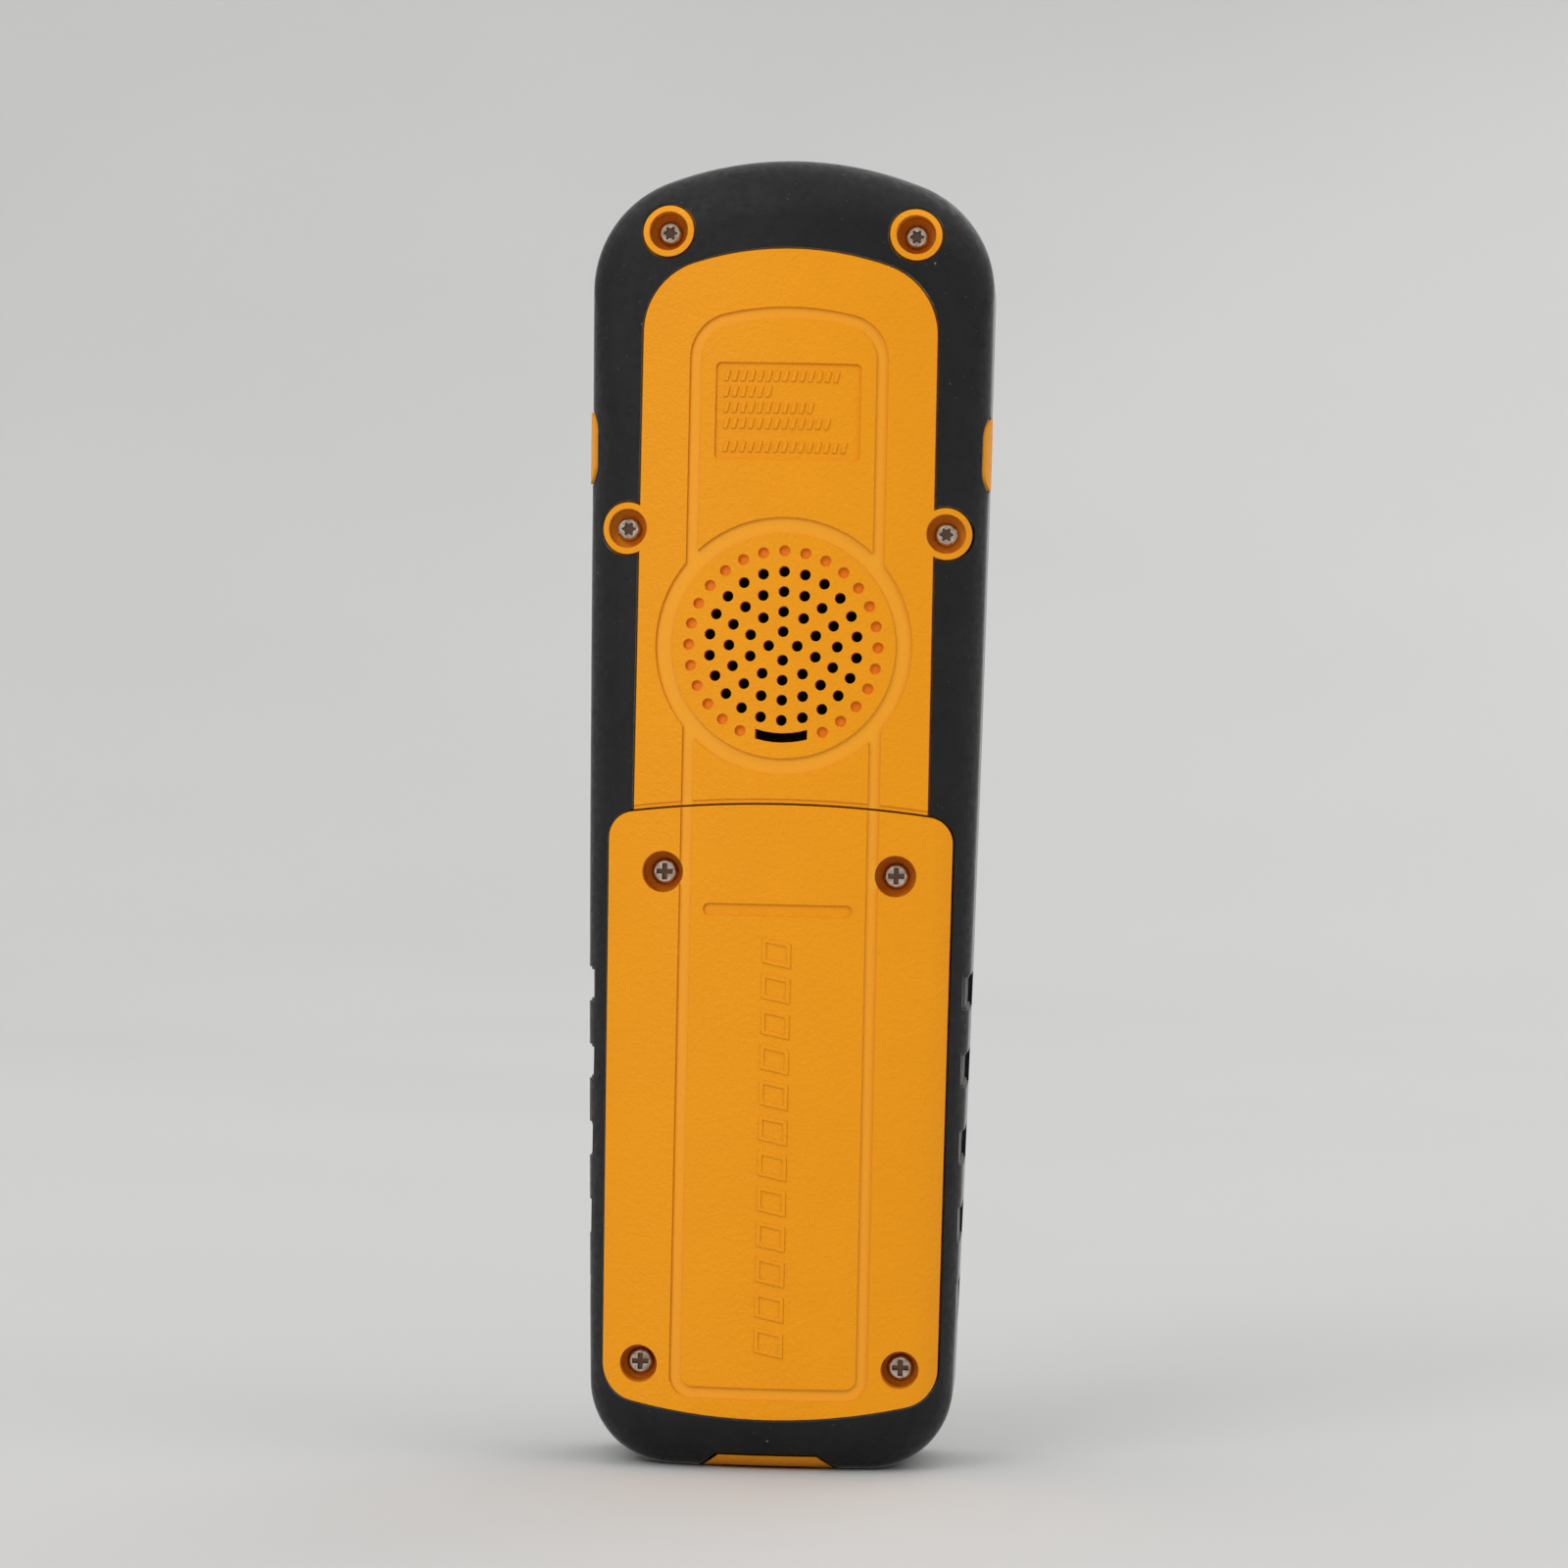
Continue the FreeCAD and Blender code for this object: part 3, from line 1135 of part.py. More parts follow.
def speaker_cone():
    rim = speaker_rim_y()
    bore = SPEAKER_R - SPEAKER_LEDGE - CONE_FIT
    mid = rim - 2.2
    return turned(0, SPEAKER_Z, [
        (bore, rim - 0.4), (bore - 1.2, rim), (bore - 2.4, rim - 0.5),
        (4.6, mid), (3.2, mid + 0.9), (0, mid + 1.2),
        (0, mid + 1.2 - CONE_T), (3.0, mid + 0.9 - CONE_T), (4.4, mid - CONE_T),
        (bore - 2.4, rim - 0.5 - CONE_T), (bore - 1.2, rim - CONE_T), (bore, rim - 0.4 - CONE_T)])


def speaker_magnet():
    y1 = speaker_rim_y() - SPEAKER_RIM_T - BASKET_DEPTH
    return turned(0, SPEAKER_Z, [(0, y1), (MAGNET_R, y1), (MAGNET_R, y1 - MAGNET_T + 0.5),
                                 (MAGNET_R - 0.5, y1 - MAGNET_T), (0, y1 - MAGNET_T)])


def earpiece():
    y = INNER_FRONT + MESH_T
    return slab(0, EARPIECE_Z, EARPIECE_WIDTH, EARPIECE_HEIGHT, 2.0, y, y + EARPIECE_T)


def earpiece_mesh():
    return slab(0, EARPIECE_Z, EARPIECE_WIDTH - 1, EARPIECE_HEIGHT - 0.6, 1.5, INNER_FRONT,
                INNER_FRONT + MESH_T)


def microphone():
    y = INNER_FRONT + BOOT_WALL
    return rod(0, MIC_Z, MIC_R, y, y + MIC_T)


def mic_boot():
    body = rod(0, MIC_Z, MIC_R + BOOT_WALL, INNER_FRONT, BOARD_Y)
    pocket = rod(0, MIC_Z, MIC_R, INNER_FRONT + BOOT_WALL, BOARD_Y + 1)
    return body.cut([pocket, rod(0, MIC_Z, MIC_HOLE_R, INNER_FRONT - 1, BOARD_Y)])


def side_key():
    """The right-hand key when the keypad is faced; its mate is a mirror image."""
    x_flange = side_key_flange_x()
    cap = side_key_form(0, x_flange - SIDE_FLANGE_T, HALF_TOP + 2).common(blank(-SIDE_KEY_PROUD))
    half_z = SIDE_KEY_LENGTH / 2 + SIDE_FLANGE
    flange = box(x_flange - SIDE_FLANGE_T, x_flange, SIDE_KEY_Y - SIDE_KEY_HALF, SIDE_KEY_Y + SIDE_KEY_HALF,
                 SIDE_KEY_Z - half_z, SIDE_KEY_Z + half_z)
    return cap.fuse(flange)


def side_switches():
    x1 = switch_face_x()
    half = SWITCH_SIZE / 2
    body = box(x1 - SWITCH_T, x1, SIDE_KEY_Y - half, SIDE_KEY_Y + half, SIDE_KEY_Z - half, SIDE_KEY_Z + half)
    nub = Part.makeCylinder(SWITCH_NUB_R, SWITCH_NUB_T, V(x1, SIDE_KEY_Y, SIDE_KEY_Z), V(1, 0, 0))
    return Part.makeCompound(both(body.fuse(nub)))


PIECES = {
    "rear_case": rear_case, "rear_bumper": rear_bumper,
    "front_case": front_case, "front_bumper": front_bumper, "face_plate": face_plate,
    "display_window": display_window, "lcd_module": lcd_module, "lcd_frame": lcd_frame,
    "nav_rocker": nav_rocker, "key_select": key_select, "keypad_mat": keypad_mat, "dome_sheet": dome_sheet,
    "main_board": main_board, "shield_can": shield_can, "antenna": antenna,
    "speaker_frame": speaker_frame, "speaker_cone": speaker_cone, "speaker_magnet": speaker_magnet,
    "speaker_gasket": speaker_gasket, "speaker_membrane": speaker_membrane,
    "earpiece": earpiece, "earpiece_mesh": earpiece_mesh, "microphone": microphone, "mic_boot": mic_boot,
    "case_seal": case_seal, "case_screws": case_screws, "case_inserts": case_inserts,
    "battery_cover": battery_cover, "cover_seal": cover_seal, "cover_foam": cover_foam,
    "cover_screws": cover_screws, "cover_inserts": cover_inserts,
    "battery_cells": battery_cells, "battery_sleeve": battery_sleeve, "lead_plug": lead_plug,
    "battery_socket": battery_socket, "charge_contacts": charge_contacts, "side_switches": side_switches,
    "side_key_right": side_key,
}


def save(node, shape):
    solids = shape.Solids
    piece = solids[0] if len(solids) == 1 else Part.makeCompound(solids)
    piece.exportStep(os.path.join("parts", node + ".step"))
    state = "valid" if piece.isValid() else "NOT VALID"
    print(node, len(solids), "solids", round(piece.Volume, 1), "mm3", state)


def main():
    os.makedirs("parts", exist_ok=True)
    for node, make in PIECES.items():
        save(node, make())
    save("side_key_left", mirrored(side_key()))
    save("lead_red", lead(-1))
    save("lead_black", lead(1))
    for node, place in key_places().items():
        save(node, key_cap(*place))


main()
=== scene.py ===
import json
import math

import bpy
import numpy as np
from mathutils import Matrix, Vector


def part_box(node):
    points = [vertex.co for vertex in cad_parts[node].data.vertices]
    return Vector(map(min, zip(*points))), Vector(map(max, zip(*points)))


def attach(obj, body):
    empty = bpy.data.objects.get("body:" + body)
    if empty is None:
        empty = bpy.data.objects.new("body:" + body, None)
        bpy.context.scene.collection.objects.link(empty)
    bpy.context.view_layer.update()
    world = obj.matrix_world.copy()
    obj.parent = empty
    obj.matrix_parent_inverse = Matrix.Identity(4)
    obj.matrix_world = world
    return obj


# The looks of a rugged two-way handset. Metres, in the frame's own axes:
# +Z up the length, the keypad faces -Y, the loudspeaker and the battery cover face +Y.

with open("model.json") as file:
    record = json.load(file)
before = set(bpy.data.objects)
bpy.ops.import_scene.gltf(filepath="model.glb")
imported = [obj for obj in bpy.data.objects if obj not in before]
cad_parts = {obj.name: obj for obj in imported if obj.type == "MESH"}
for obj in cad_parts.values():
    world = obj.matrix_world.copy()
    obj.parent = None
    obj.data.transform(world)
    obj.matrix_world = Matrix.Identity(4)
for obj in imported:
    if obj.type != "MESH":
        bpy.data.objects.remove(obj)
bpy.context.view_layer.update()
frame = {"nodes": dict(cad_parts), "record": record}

MM = 0.001

# Places taken from the frame
WINDOW_LOW, WINDOW_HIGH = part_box("display_window")
SCREEN_LOW, SCREEN_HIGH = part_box("lcd_module")
NAV_LOW, NAV_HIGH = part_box("nav_rocker")
MEMBRANE_LOW, MEMBRANE_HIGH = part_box("speaker_membrane")
SLEEVE_LOW, SLEEVE_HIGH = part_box("battery_sleeve")
SELECT_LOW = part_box("key_select")[0]
CASE_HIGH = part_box("rear_case")[1]
SCREW_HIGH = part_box("cover_screws")[1]

# The yellow back: a crowned surface, and what lies below it
BACK_CROWN = 65 * MM            # the back is a cylinder of this radius across the width
GROOVE_START = (0.33 * MM, 0.37 * MM)   # depths over which the groove's floor comes in
GROOVE_END = (0.43 * MM, 0.47 * MM)     # and goes out
GROOVE_REACH = 17.6 * MM        # the groove stays within this of the middle
DOT_START = (0.48 * MM, 0.54 * MM)      # depths over which the dots and holes come in, and with them their painted shade
GRILLE_RADIUS = 14.0 * MM
SCREW_SHADE = 0.07 * MM         # below a cover screw's top, where its shade starts
SCREW_SHADE_SOFT = 0.15 * MM    # and how far down it is full

# Noise keeps near a half, so the middle of its range is spread over the whole change
COLOR_SPAN = (0.35, 0.65)
GLOSS_SPAN = (0.3, 0.7)
SPOT_CORE = 0.6                 # share of a spot's radius that is fully coloured
EDGE_SAMPLES = 4

# Other patterns
TRACK_PITCH = 1.27 * MM
TRACK_LEVEL = 0.72              # a wave above this is a track
WEAVE_PITCH = 0.4 * MM
WAVE_LENGTH = 0.3               # a wave texture's bands at scale 1 are about this far apart
WRAP_BAND = 1 / 7               # half the silver band, as a share of the sleeve's length

# Printing
PRINT_RISE = 0.006 * MM
PRINT_STEP = 0.001 * MM         # each stroke above the one before it
MITRE_LEAST = 0.5               # a sharp corner's mitre is cut off at twice the half width
END_TURNS = [[30], [60], [85]]  # degrees
LEGEND_HALF_WIDTH = 1.05 * MM
LEGEND_STROKE = 0.42 * MM
NAV_MARK_OUT = 6.9 * MM
NAV_MARK_HALF = 1.1 * MM
NAV_MARK_STROKE = 0.36 * MM
SELECT_MARK_SIZE = 1.5 * MM
SCREEN_BORDER = 2.3 * MM        # printed margin of the display window, each side
SCREEN_BORDER_ENDS = 2.5 * MM   # and at its top and foot

# The screen's contents, from the middle of the screen
GAUGE_UP = 10.5 * MM            # the gauges' top, and the line at the foot as far down
SIGNAL_OUT = 13.5 * MM
BATTERY_OUT = 9.5 * MM
GAUGE_PITCH = 1.3 * MM
GAUGE_STROKE = 0.55 * MM
SIGNAL_BARS = 5
SIGNAL_FOOT = 2.0 * MM
SIGNAL_LEAST = 1.6 * MM         # the first bar's top, below the gauges' top
SIGNAL_STEP = 0.45 * MM
BATTERY_BARS = 4
BATTERY_FOOT = 1.7 * MM
RULE_HALF = 13.0 * MM
DIGIT_OUT = 4.5 * MM
DIGIT_DOWN = 1.5 * MM
DIGIT_SIZE = 3.6 * MM
DIGIT_STROKE = 1.2 * MM


# Materials

class Finish:
    """A Principled surface with the nodes that vary it over the piece, in object coordinates."""

    def __init__(self, name, color, roughness, metallic=0.0, specular=0.5):
        self.material = bpy.data.materials.new(name)
        self.material.use_nodes = True
        self.tree = self.material.node_tree
        self.surface = self.tree.nodes["Principled BSDF"]
        self.color = color
        self.roughness = roughness
        self.surface.inputs["Base Color"].default_value = (*color, 1.0)
        self.surface.inputs["Roughness"].default_value = roughness
        self.surface.inputs["Metallic"].default_value = metallic
        self.surface.inputs["Specular IOR Level"].default_value = specular
        self.where = self.tree.nodes.new("ShaderNodeTexCoord").outputs["Object"]

    def node(self, kind, **settings):
        made = self.tree.nodes.new(kind)
        for key, value in settings.items():
            setattr(made, key, value)
        return made

    def link(self, source, target):
        self.tree.links.new(source, target)

    def noise(self, grain, detail=2.0):
        """Smooth noise whose lumps are about grain across."""
        made = self.node("ShaderNodeTexNoise")
        made.inputs["Scale"].default_value = 1.0 / grain
        made.inputs["Detail"].default_value = detail
        self.link(self.where, made.inputs["Vector"])
        return made.outputs["Fac"]

    def spots(self, pitch, size):
        """1 in small scattered spots, 0 between them."""
        cells = self.node("ShaderNodeTexVoronoi")
        cells.inputs["Scale"].default_value = 1.0 / pitch
        self.link(self.where, cells.inputs["Vector"])
        return self.spread(cells.outputs["Distance"], size, size * SPOT_CORE, 0.0, 1.0)

    def math(self, operation, a, b):
        made = self.node("ShaderNodeMath", operation=operation)
        for socket, value in zip(made.inputs, (a, b)):
            if isinstance(value, (int, float)):
                socket.default_value = value
            else:
                self.link(value, socket)
        return made.outputs[0]

    def spread(self, value, low, high, a, b):
        """Runs from a to b as value runs from low to high, and stays within them."""
        made = self.node("ShaderNodeMapRange")
        for name, number in (("From Min", low), ("From Max", high), ("To Min", a), ("To Max", b)):
            made.inputs[name].default_value = number
        self.link(value, made.inputs["Value"])
        return made.outputs["Result"]

    def blend(self, factor, a, b):
        """A colour that runs from a to b. Either may be a colour or a socket."""
        made = self.node("ShaderNodeMix", data_type="RGBA")
        self.link(factor, made.inputs[0])
        for socket, value in ((made.inputs[6], a), (made.inputs[7], b)):
            if isinstance(value, tuple):
                socket.default_value = (*value, 1.0)
            else:
                self.link(value, socket)
        return made.outputs[2]

    def vary_color(self, grain, other, detail=2.0):
        """Drifts between the finish's colour and another one."""
        factor = self.spread(self.noise(grain, detail), *COLOR_SPAN, 0.0, 1.0)
        mixed = self.blend(factor, self.color, other)
        self.link(mixed, self.surface.inputs["Base Color"])
        return mixed

    def vary_roughness(self, grain, amount, detail=2.0):
        """Drifts to either side of the finish's roughness."""
        low, high = self.roughness - amount, self.roughness + amount
        varied = self.spread(self.noise(grain, detail), *GLOSS_SPAN, low, high)
        self.link(varied, self.surface.inputs["Roughness"])

    def relief(self, height, depth, strength=1.0, edge=0.0):
        """Fine relief of the given depth, over edges softened to the radius edge."""
        bump = self.node("ShaderNodeBump")
        bump.inputs["Strength"].default_value = strength
        bump.inputs["Distance"].default_value = depth
        self.link(height, bump.inputs["Height"])
        if edge:
            bevel = self.node("ShaderNodeBevel", samples=EDGE_SAMPLES)
            bevel.inputs["Radius"].default_value = edge
            self.link(bevel.outputs[0], bump.inputs["Normal"])
        self.link(bump.outputs[0], self.surface.inputs["Normal"])

    def axis(self, letter):
        split = self.node("ShaderNodeSeparateXYZ")
        self.link(self.where, split.inputs[0])
        return split.outputs[letter]

    def off(self, letter, middle):
        """How far a point lies to either side of a middle, along one axis."""
        return self.math("ABSOLUTE", self.math("SUBTRACT", self.axis(letter), middle), 0)


def depth_below_back(f):
    """How far a point lies below the back's crowned surface."""
    x = f.axis("X")
    rise = f.math("SQRT", f.math("SUBTRACT", BACK_CROWN ** 2, f.math("MULTIPLY", x, x)), 0)
    return f.math("SUBTRACT", f.math("ADD", rise, CASE_HIGH.y - BACK_CROWN), f.axis("Y"))


def distance_from_speaker(f):
    """Distance from the loudspeaker's axis, which runs along Y."""
    up = f.math("SUBTRACT", f.axis("Z"), (MEMBRANE_LOW.z + MEMBRANE_HIGH.z) / 2)
    x = f.axis("X")
    return f.math("SQRT", f.math("ADD", f.math("MULTIPLY", x, x), f.math("MULTIPLY", up, up)), 0)


def display_opening(f):
    """1 on the walls of the opening over the screen, which are painted black."""
    x = (SCREEN_LOW.x + SCREEN_HIGH.x) / 2
    z = (SCREEN_LOW.z + SCREEN_HIGH.z) / 2
    beside = f.math("LESS_THAN", f.off("X", x), (SCREEN_HIGH.x - SCREEN_LOW.x) / 2)
    along = f.math("LESS_THAN", f.off("Z", z), (SCREEN_HIGH.z - SCREEN_LOW.z) / 2)
    within = f.math("MULTIPLY", beside, along)
    return f.math("MULTIPLY", within, f.math("LESS_THAN", f.axis("Y"), SCREEN_LOW.y))


def yellow_case():
    """Yellow-orange moulded plastic: fine grain, a smooth groove with a painted highlight of
    lighter yellow, and painted shade of deeper orange in the dots.
    """
    yellow, drifted, dust = (0.87, 0.322, 0.002), (0.855, 0.314, 0.002), (0.60, 0.20, 0.006)
    # Painted light: the groove's lighter yellow is a painted highlight, and the dots' deeper orange
    # is painted shade.
    groove_highlight_yellow, dot_shade_orange, black = (0.90, 0.375, 0.018), (0.88, 0.235, 0.003), (0.008,) * 3
    rough_low, rough_high = 0.38, 0.54
    groove_polish, groove_flat = 0.14, 0.85
    f = Finish("yellow_case_plastic", yellow, 0.46, specular=0.2)
    body = f.vary_color(9 * MM, drifted)
    dusty = f.blend(f.spots(2.9 * MM, 0.03), body, dust)
    depth = depth_below_back(f)
    below = f.spread(depth, *GROOVE_START, 0.0, 1.0)
    above = f.spread(depth, *GROOVE_END, 1.0, 0.0)
    near = f.math("LESS_THAN", f.math("ABSOLUTE", f.axis("X"), 0), GROOVE_REACH)
    groove = f.math("MULTIPLY", f.math("MULTIPLY", below, above), near)
    grille = f.math("LESS_THAN", distance_from_speaker(f), GRILLE_RADIUS)
    # Painted shade: the walls of the grille's dots and holes, from just below the back's surface
    # down to the membrane, are painted a deeper orange.
    sunk = f.math("MULTIPLY", f.spread(depth, *DOT_START, 0.0, 1.0), grille)
    dots = f.math("MULTIPLY", sunk, f.math("LESS_THAN", depth, CASE_HIGH.y - MEMBRANE_HIGH.y))
    # Painted highlight: the groove's floor is painted a lighter yellow for the gloss it catches, as
    # well as having lower roughness and flatter grain.
    groove_highlighted = f.blend(groove, dusty, groove_highlight_yellow)
    dot_shaded = f.blend(dots, groove_highlighted, dot_shade_orange)
    f.link(f.blend(display_opening(f), dot_shaded, black), f.surface.inputs["Base Color"])
    rough = f.spread(f.noise(0.7 * MM), *GLOSS_SPAN, rough_low, rough_high)
    polish = f.math("MULTIPLY", groove, groove_polish)
    f.link(f.math("SUBTRACT", rough, polish), f.surface.inputs["Roughness"])
    grain = f.math("ADD", f.noise(0.35 * MM, 1.0), f.noise(0.8 * MM, 1.0))
    kept = f.math("SUBTRACT", 1.0, f.math("MULTIPLY", groove, groove_flat))
    f.relief(f.math("MULTIPLY", grain, kept), 0.085 * MM, 0.9, edge=0.16 * MM)
    return f.material


def bumper_rubber():
    """Black moulded rubber with fine dust in its grain."""
    black, drifted = (0.0060, 0.0060, 0.0064), (0.0090, 0.0090, 0.0096)
    faint_dust, bright_dust = (0.06, 0.06, 0.056), (0.19, 0.19, 0.18)
    f = Finish("bumper_black_rubber", black, 0.58, specular=0.26)
    body = f.vary_color(6 * MM, drifted)
    dusty = f.blend(f.spots(1.5 * MM, 0.07), body, faint_dust)
    specked = f.blend(f.spots(3.7 * MM, 0.045), dusty, bright_dust)
    f.link(specked, f.surface.inputs["Base Color"])
    f.surface.inputs["Sheen Weight"].default_value = 0.6
    f.surface.inputs["Sheen Roughness"].default_value = 0.2
    f.vary_roughness(1.1 * MM, 0.09)
    f.relief(f.noise(0.28 * MM, 2.0), 0.02 * MM, 0.9, edge=0.2 * MM)
    return f.material


def face_plastic():
    """The black keypad face: satin, with a fine grain."""
    f = Finish("face_black_plastic", (0.016, 0.016, 0.017), 0.42, specular=0.45)
    f.vary_color(12 * MM, (0.020, 0.020, 0.021))
    f.vary_roughness(1.0 * MM, 0.05)
    f.relief(f.noise(0.25 * MM, 1.0), 0.01 * MM, 0.6, edge=0.12 * MM)
    return f.material


def window_glass():
    """Clear over the screen, backed with black print around it."""
    clear = 0.32
    f = Finish("display_window_glass", (0.010, 0.011, 0.012), 0.06, specular=0.6)
    middle = (WINDOW_LOW + WINDOW_HIGH) / 2
    half_x = (WINDOW_HIGH.x - WINDOW_LOW.x) / 2 - SCREEN_BORDER
    half_z = (WINDOW_HIGH.z - WINDOW_LOW.z) / 2 - SCREEN_BORDER_ENDS
    beside = f.math("GREATER_THAN", f.off("X", middle.x), half_x)
    beyond = f.math("GREATER_THAN", f.off("Z", middle.z), half_z)
    border = f.math("MAXIMUM", beside, beyond)
    f.link(f.spread(border, 0.0, 1.0, clear, 1.0), f.surface.inputs["Alpha"])
    f.vary_roughness(7 * MM, 0.02)
    return f.material


def screen_film():
    """An unlit grey-green liquid crystal display."""
    f = Finish("screen_grey_green", (0.20, 0.24, 0.17), 0.35)
    f.vary_color(14 * MM, (0.17, 0.205, 0.15))
    f.vary_roughness(3 * MM, 0.04)
    return f.material


def print_ink(name, color):
    f = Finish(name, color, 0.5)
    f.vary_color(2 * MM, tuple(c * 0.9 for c in color))
    return f.material


def moulded(name, color, roughness, other=0.85, specular=0.45, grain=0.3 * MM, depth=0.01 * MM,
            edge=0.1 * MM):
    """Plain moulded plastic, rubber or foam in one colour."""
    f = Finish(name, color, roughness, specular=specular)
    f.vary_color(8 * MM, tuple(c * other for c in color))
    f.vary_roughness(1.5 * MM, 0.05)
    f.relief(f.noise(grain, 2.0), depth, 0.8, edge=edge)
    return f.material


def plated(name, color, roughness, other=0.85, depth=0.006 * MM, edge=0.08 * MM):
    """Bright or dull metal with a faint uneven polish."""
    f = Finish(name, color, roughness, metallic=1.0)
    f.vary_color(0.9 * MM, tuple(c * other for c in color), 3.0)
    f.vary_roughness(0.5 * MM, 0.07, 3.0)
    f.relief(f.noise(0.35 * MM, 3.0), depth, 0.7, edge=edge)
    return f.material


def screw_nickel():
    """Bright nickel, with warm shade below each head's flat top and in its recess."""
    nickel, dull, shaded = (0.60, 0.53, 0.46), (0.34, 0.26, 0.20), (0.13, 0.075, 0.05)
    f = Finish("screw_nickel", nickel, 0.22, metallic=1.0)
    patchy = f.vary_color(0.7 * MM, dull, 3.0)
    top = SCREW_HIGH.y - SCREW_SHADE
    shade = f.spread(f.axis("Y"), top - SCREW_SHADE_SOFT, top, 1.0, 0.0)
    f.link(f.blend(shade, patchy, shaded), f.surface.inputs["Base Color"])
    f.vary_roughness(0.5 * MM, 0.08, 3.0)
    f.relief(f.noise(0.45 * MM, 3.0), 0.03 * MM, 0.7, edge=0.06 * MM)
    return f.material


def circuit_board():
    """Green mask over faint tracks that run both ways."""
    mask_green, track_green = (0.012, 0.11, 0.04), (0.03, 0.20, 0.075)
    f = Finish("circuit_board_green", mask_green, 0.38)
    lines = []
    for letter in ("X", "Z"):
        wave = f.math("SINE", f.math("MULTIPLY", f.axis(letter), 2.0 * math.pi / TRACK_PITCH), 0)
        lines.append(f.math("GREATER_THAN", wave, TRACK_LEVEL))
    patches = f.math("GREATER_THAN", f.noise(5 * MM, 1.0), 0.5)
    chosen = f.node("ShaderNodeMix", data_type="FLOAT")
    for socket, value in zip(chosen.inputs[:1] + chosen.inputs[2:4], (patches, *lines)):
        f.link(value, socket)
    tracks = f.blend(chosen.outputs[0], mask_green, track_green)
    f.link(tracks, f.surface.inputs["Base Color"])
    f.vary_roughness(2 * MM, 0.06)
    return f.material


def membrane_film():
    """A fine dark woven film over the loudspeaker."""
    f = Finish("membrane_dark_film", (0.010, 0.009, 0.008), 0.7, specular=0.2)
    f.vary_color(3 * MM, (0.014, 0.012, 0.010))
    weave = f.node("ShaderNodeTexWave")
    weave.inputs["Scale"].default_value = WAVE_LENGTH / WEAVE_PITCH
    f.link(f.where, weave.inputs["Vector"])
    f.relief(weave.outputs["Fac"], 0.02 * MM, 0.5)
    return f.material


def cell_wrap():
    """Blue shrunk film around the cells, with a silver band at each cell's middle."""
    blue, silver = (0.02, 0.10, 0.28), (0.55, 0.57, 0.6)
    f = Finish("cell_blue_wrap", blue, 0.3)
    middle = (SLEEVE_LOW.z + SLEEVE_HIGH.z) / 2
    band = f.math("LESS_THAN", f.off("Z", middle), (SLEEVE_HIGH.z - SLEEVE_LOW.z) * WRAP_BAND)
    f.link(f.blend(band, blue, silver), f.surface.inputs["Base Color"])
    f.vary_roughness(2 * MM, 0.06)
    f.relief(f.noise(3 * MM, 3.0), 0.08 * MM, 0.5)
    return f.material


def stage_paper():
    f = Finish("stage_pale_floor", (0.575, 0.575, 0.57), 0.9, specular=0.1)
    f.vary_color(400 * MM, (0.56, 0.56, 0.555))
    return f.material


SLOT_FINISHES = {
    "yellow_case": yellow_case(),
    "black_rubber": bumper_rubber(),
    "black_plastic": face_plastic(),
    "display_glass": window_glass(),
    "lcd_glass": screen_film(),
    "white_plastic": moulded("natural_nylon", (0.70, 0.69, 0.64), 0.45),
    "silicone": moulded("keypad_silicone", (0.05, 0.05, 0.055), 0.55),
    "seal_rubber": moulded("seal_red_rubber", (0.22, 0.03, 0.018), 0.5, depth=0.02 * MM),
    "foam": moulded("foam_black", (0.022, 0.022, 0.022), 0.85, specular=0.2, grain=0.5 * MM,
                    depth=0.15 * MM),
    "steel": plated("sheet_steel", (0.62, 0.62, 0.61), 0.3),
    "tinned_steel": plated("tinned_steel", (0.66, 0.66, 0.65), 0.34),
    "brass": plated("insert_brass", (0.74, 0.52, 0.22), 0.28),
    "paper_cone": moulded("cone_film", (0.04, 0.04, 0.04), 0.6),
    "membrane": membrane_film(),
    "nickel_steel": screw_nickel(),
    "cell_steel": plated("cell_can_steel", (0.62, 0.63, 0.62), 0.28),
    "sleeve_plastic": cell_wrap(),
    "red_lead": moulded("lead_red_vinyl", (0.50, 0.015, 0.012), 0.4),
    "black_lead": moulded("lead_black_vinyl", (0.015, 0.015, 0.015), 0.4),
    "board": circuit_board(),
    "key_plastic": moulded("key_black_plastic", (0.024, 0.024, 0.026), 0.42, edge=0.15 * MM),
    "talk_plastic": moulded("talk_key_green", (0.015, 0.17, 0.05), 0.4, edge=0.15 * MM),
    "end_plastic": moulded("end_key_red", (0.33, 0.014, 0.010), 0.4, edge=0.15 * MM),
}


def dress_frame():
    """Gives each CAD node the finish of its slot in the record."""
    for subpart in frame["record"]["subparts"]:
        node = frame["nodes"][subpart["node"]]
        node.data.materials.clear()
        node.data.materials.append(SLOT_FINISHES[subpart["material_slot"]])


# Printed marks

def arc(x, z, half_x, half_z, start, end, steps=14):
    """Points on part of an ellipse: x + half_x cos t, z + half_z sin t, with t in degrees."""
    turns = np.radians(np.linspace(start, end, steps))
    return list(zip(x + half_x * np.cos(turns), z + half_z * np.sin(turns)))


def turned_over(strokes):
    return [[(-x, -z) for x, z in stroke] for stroke in strokes]


SIX = [arc(0, -0.55, 0.82, 0.85, 0, 360, 22), arc(0.75, -0.55, 1.57, 1.95, 100, 180)]

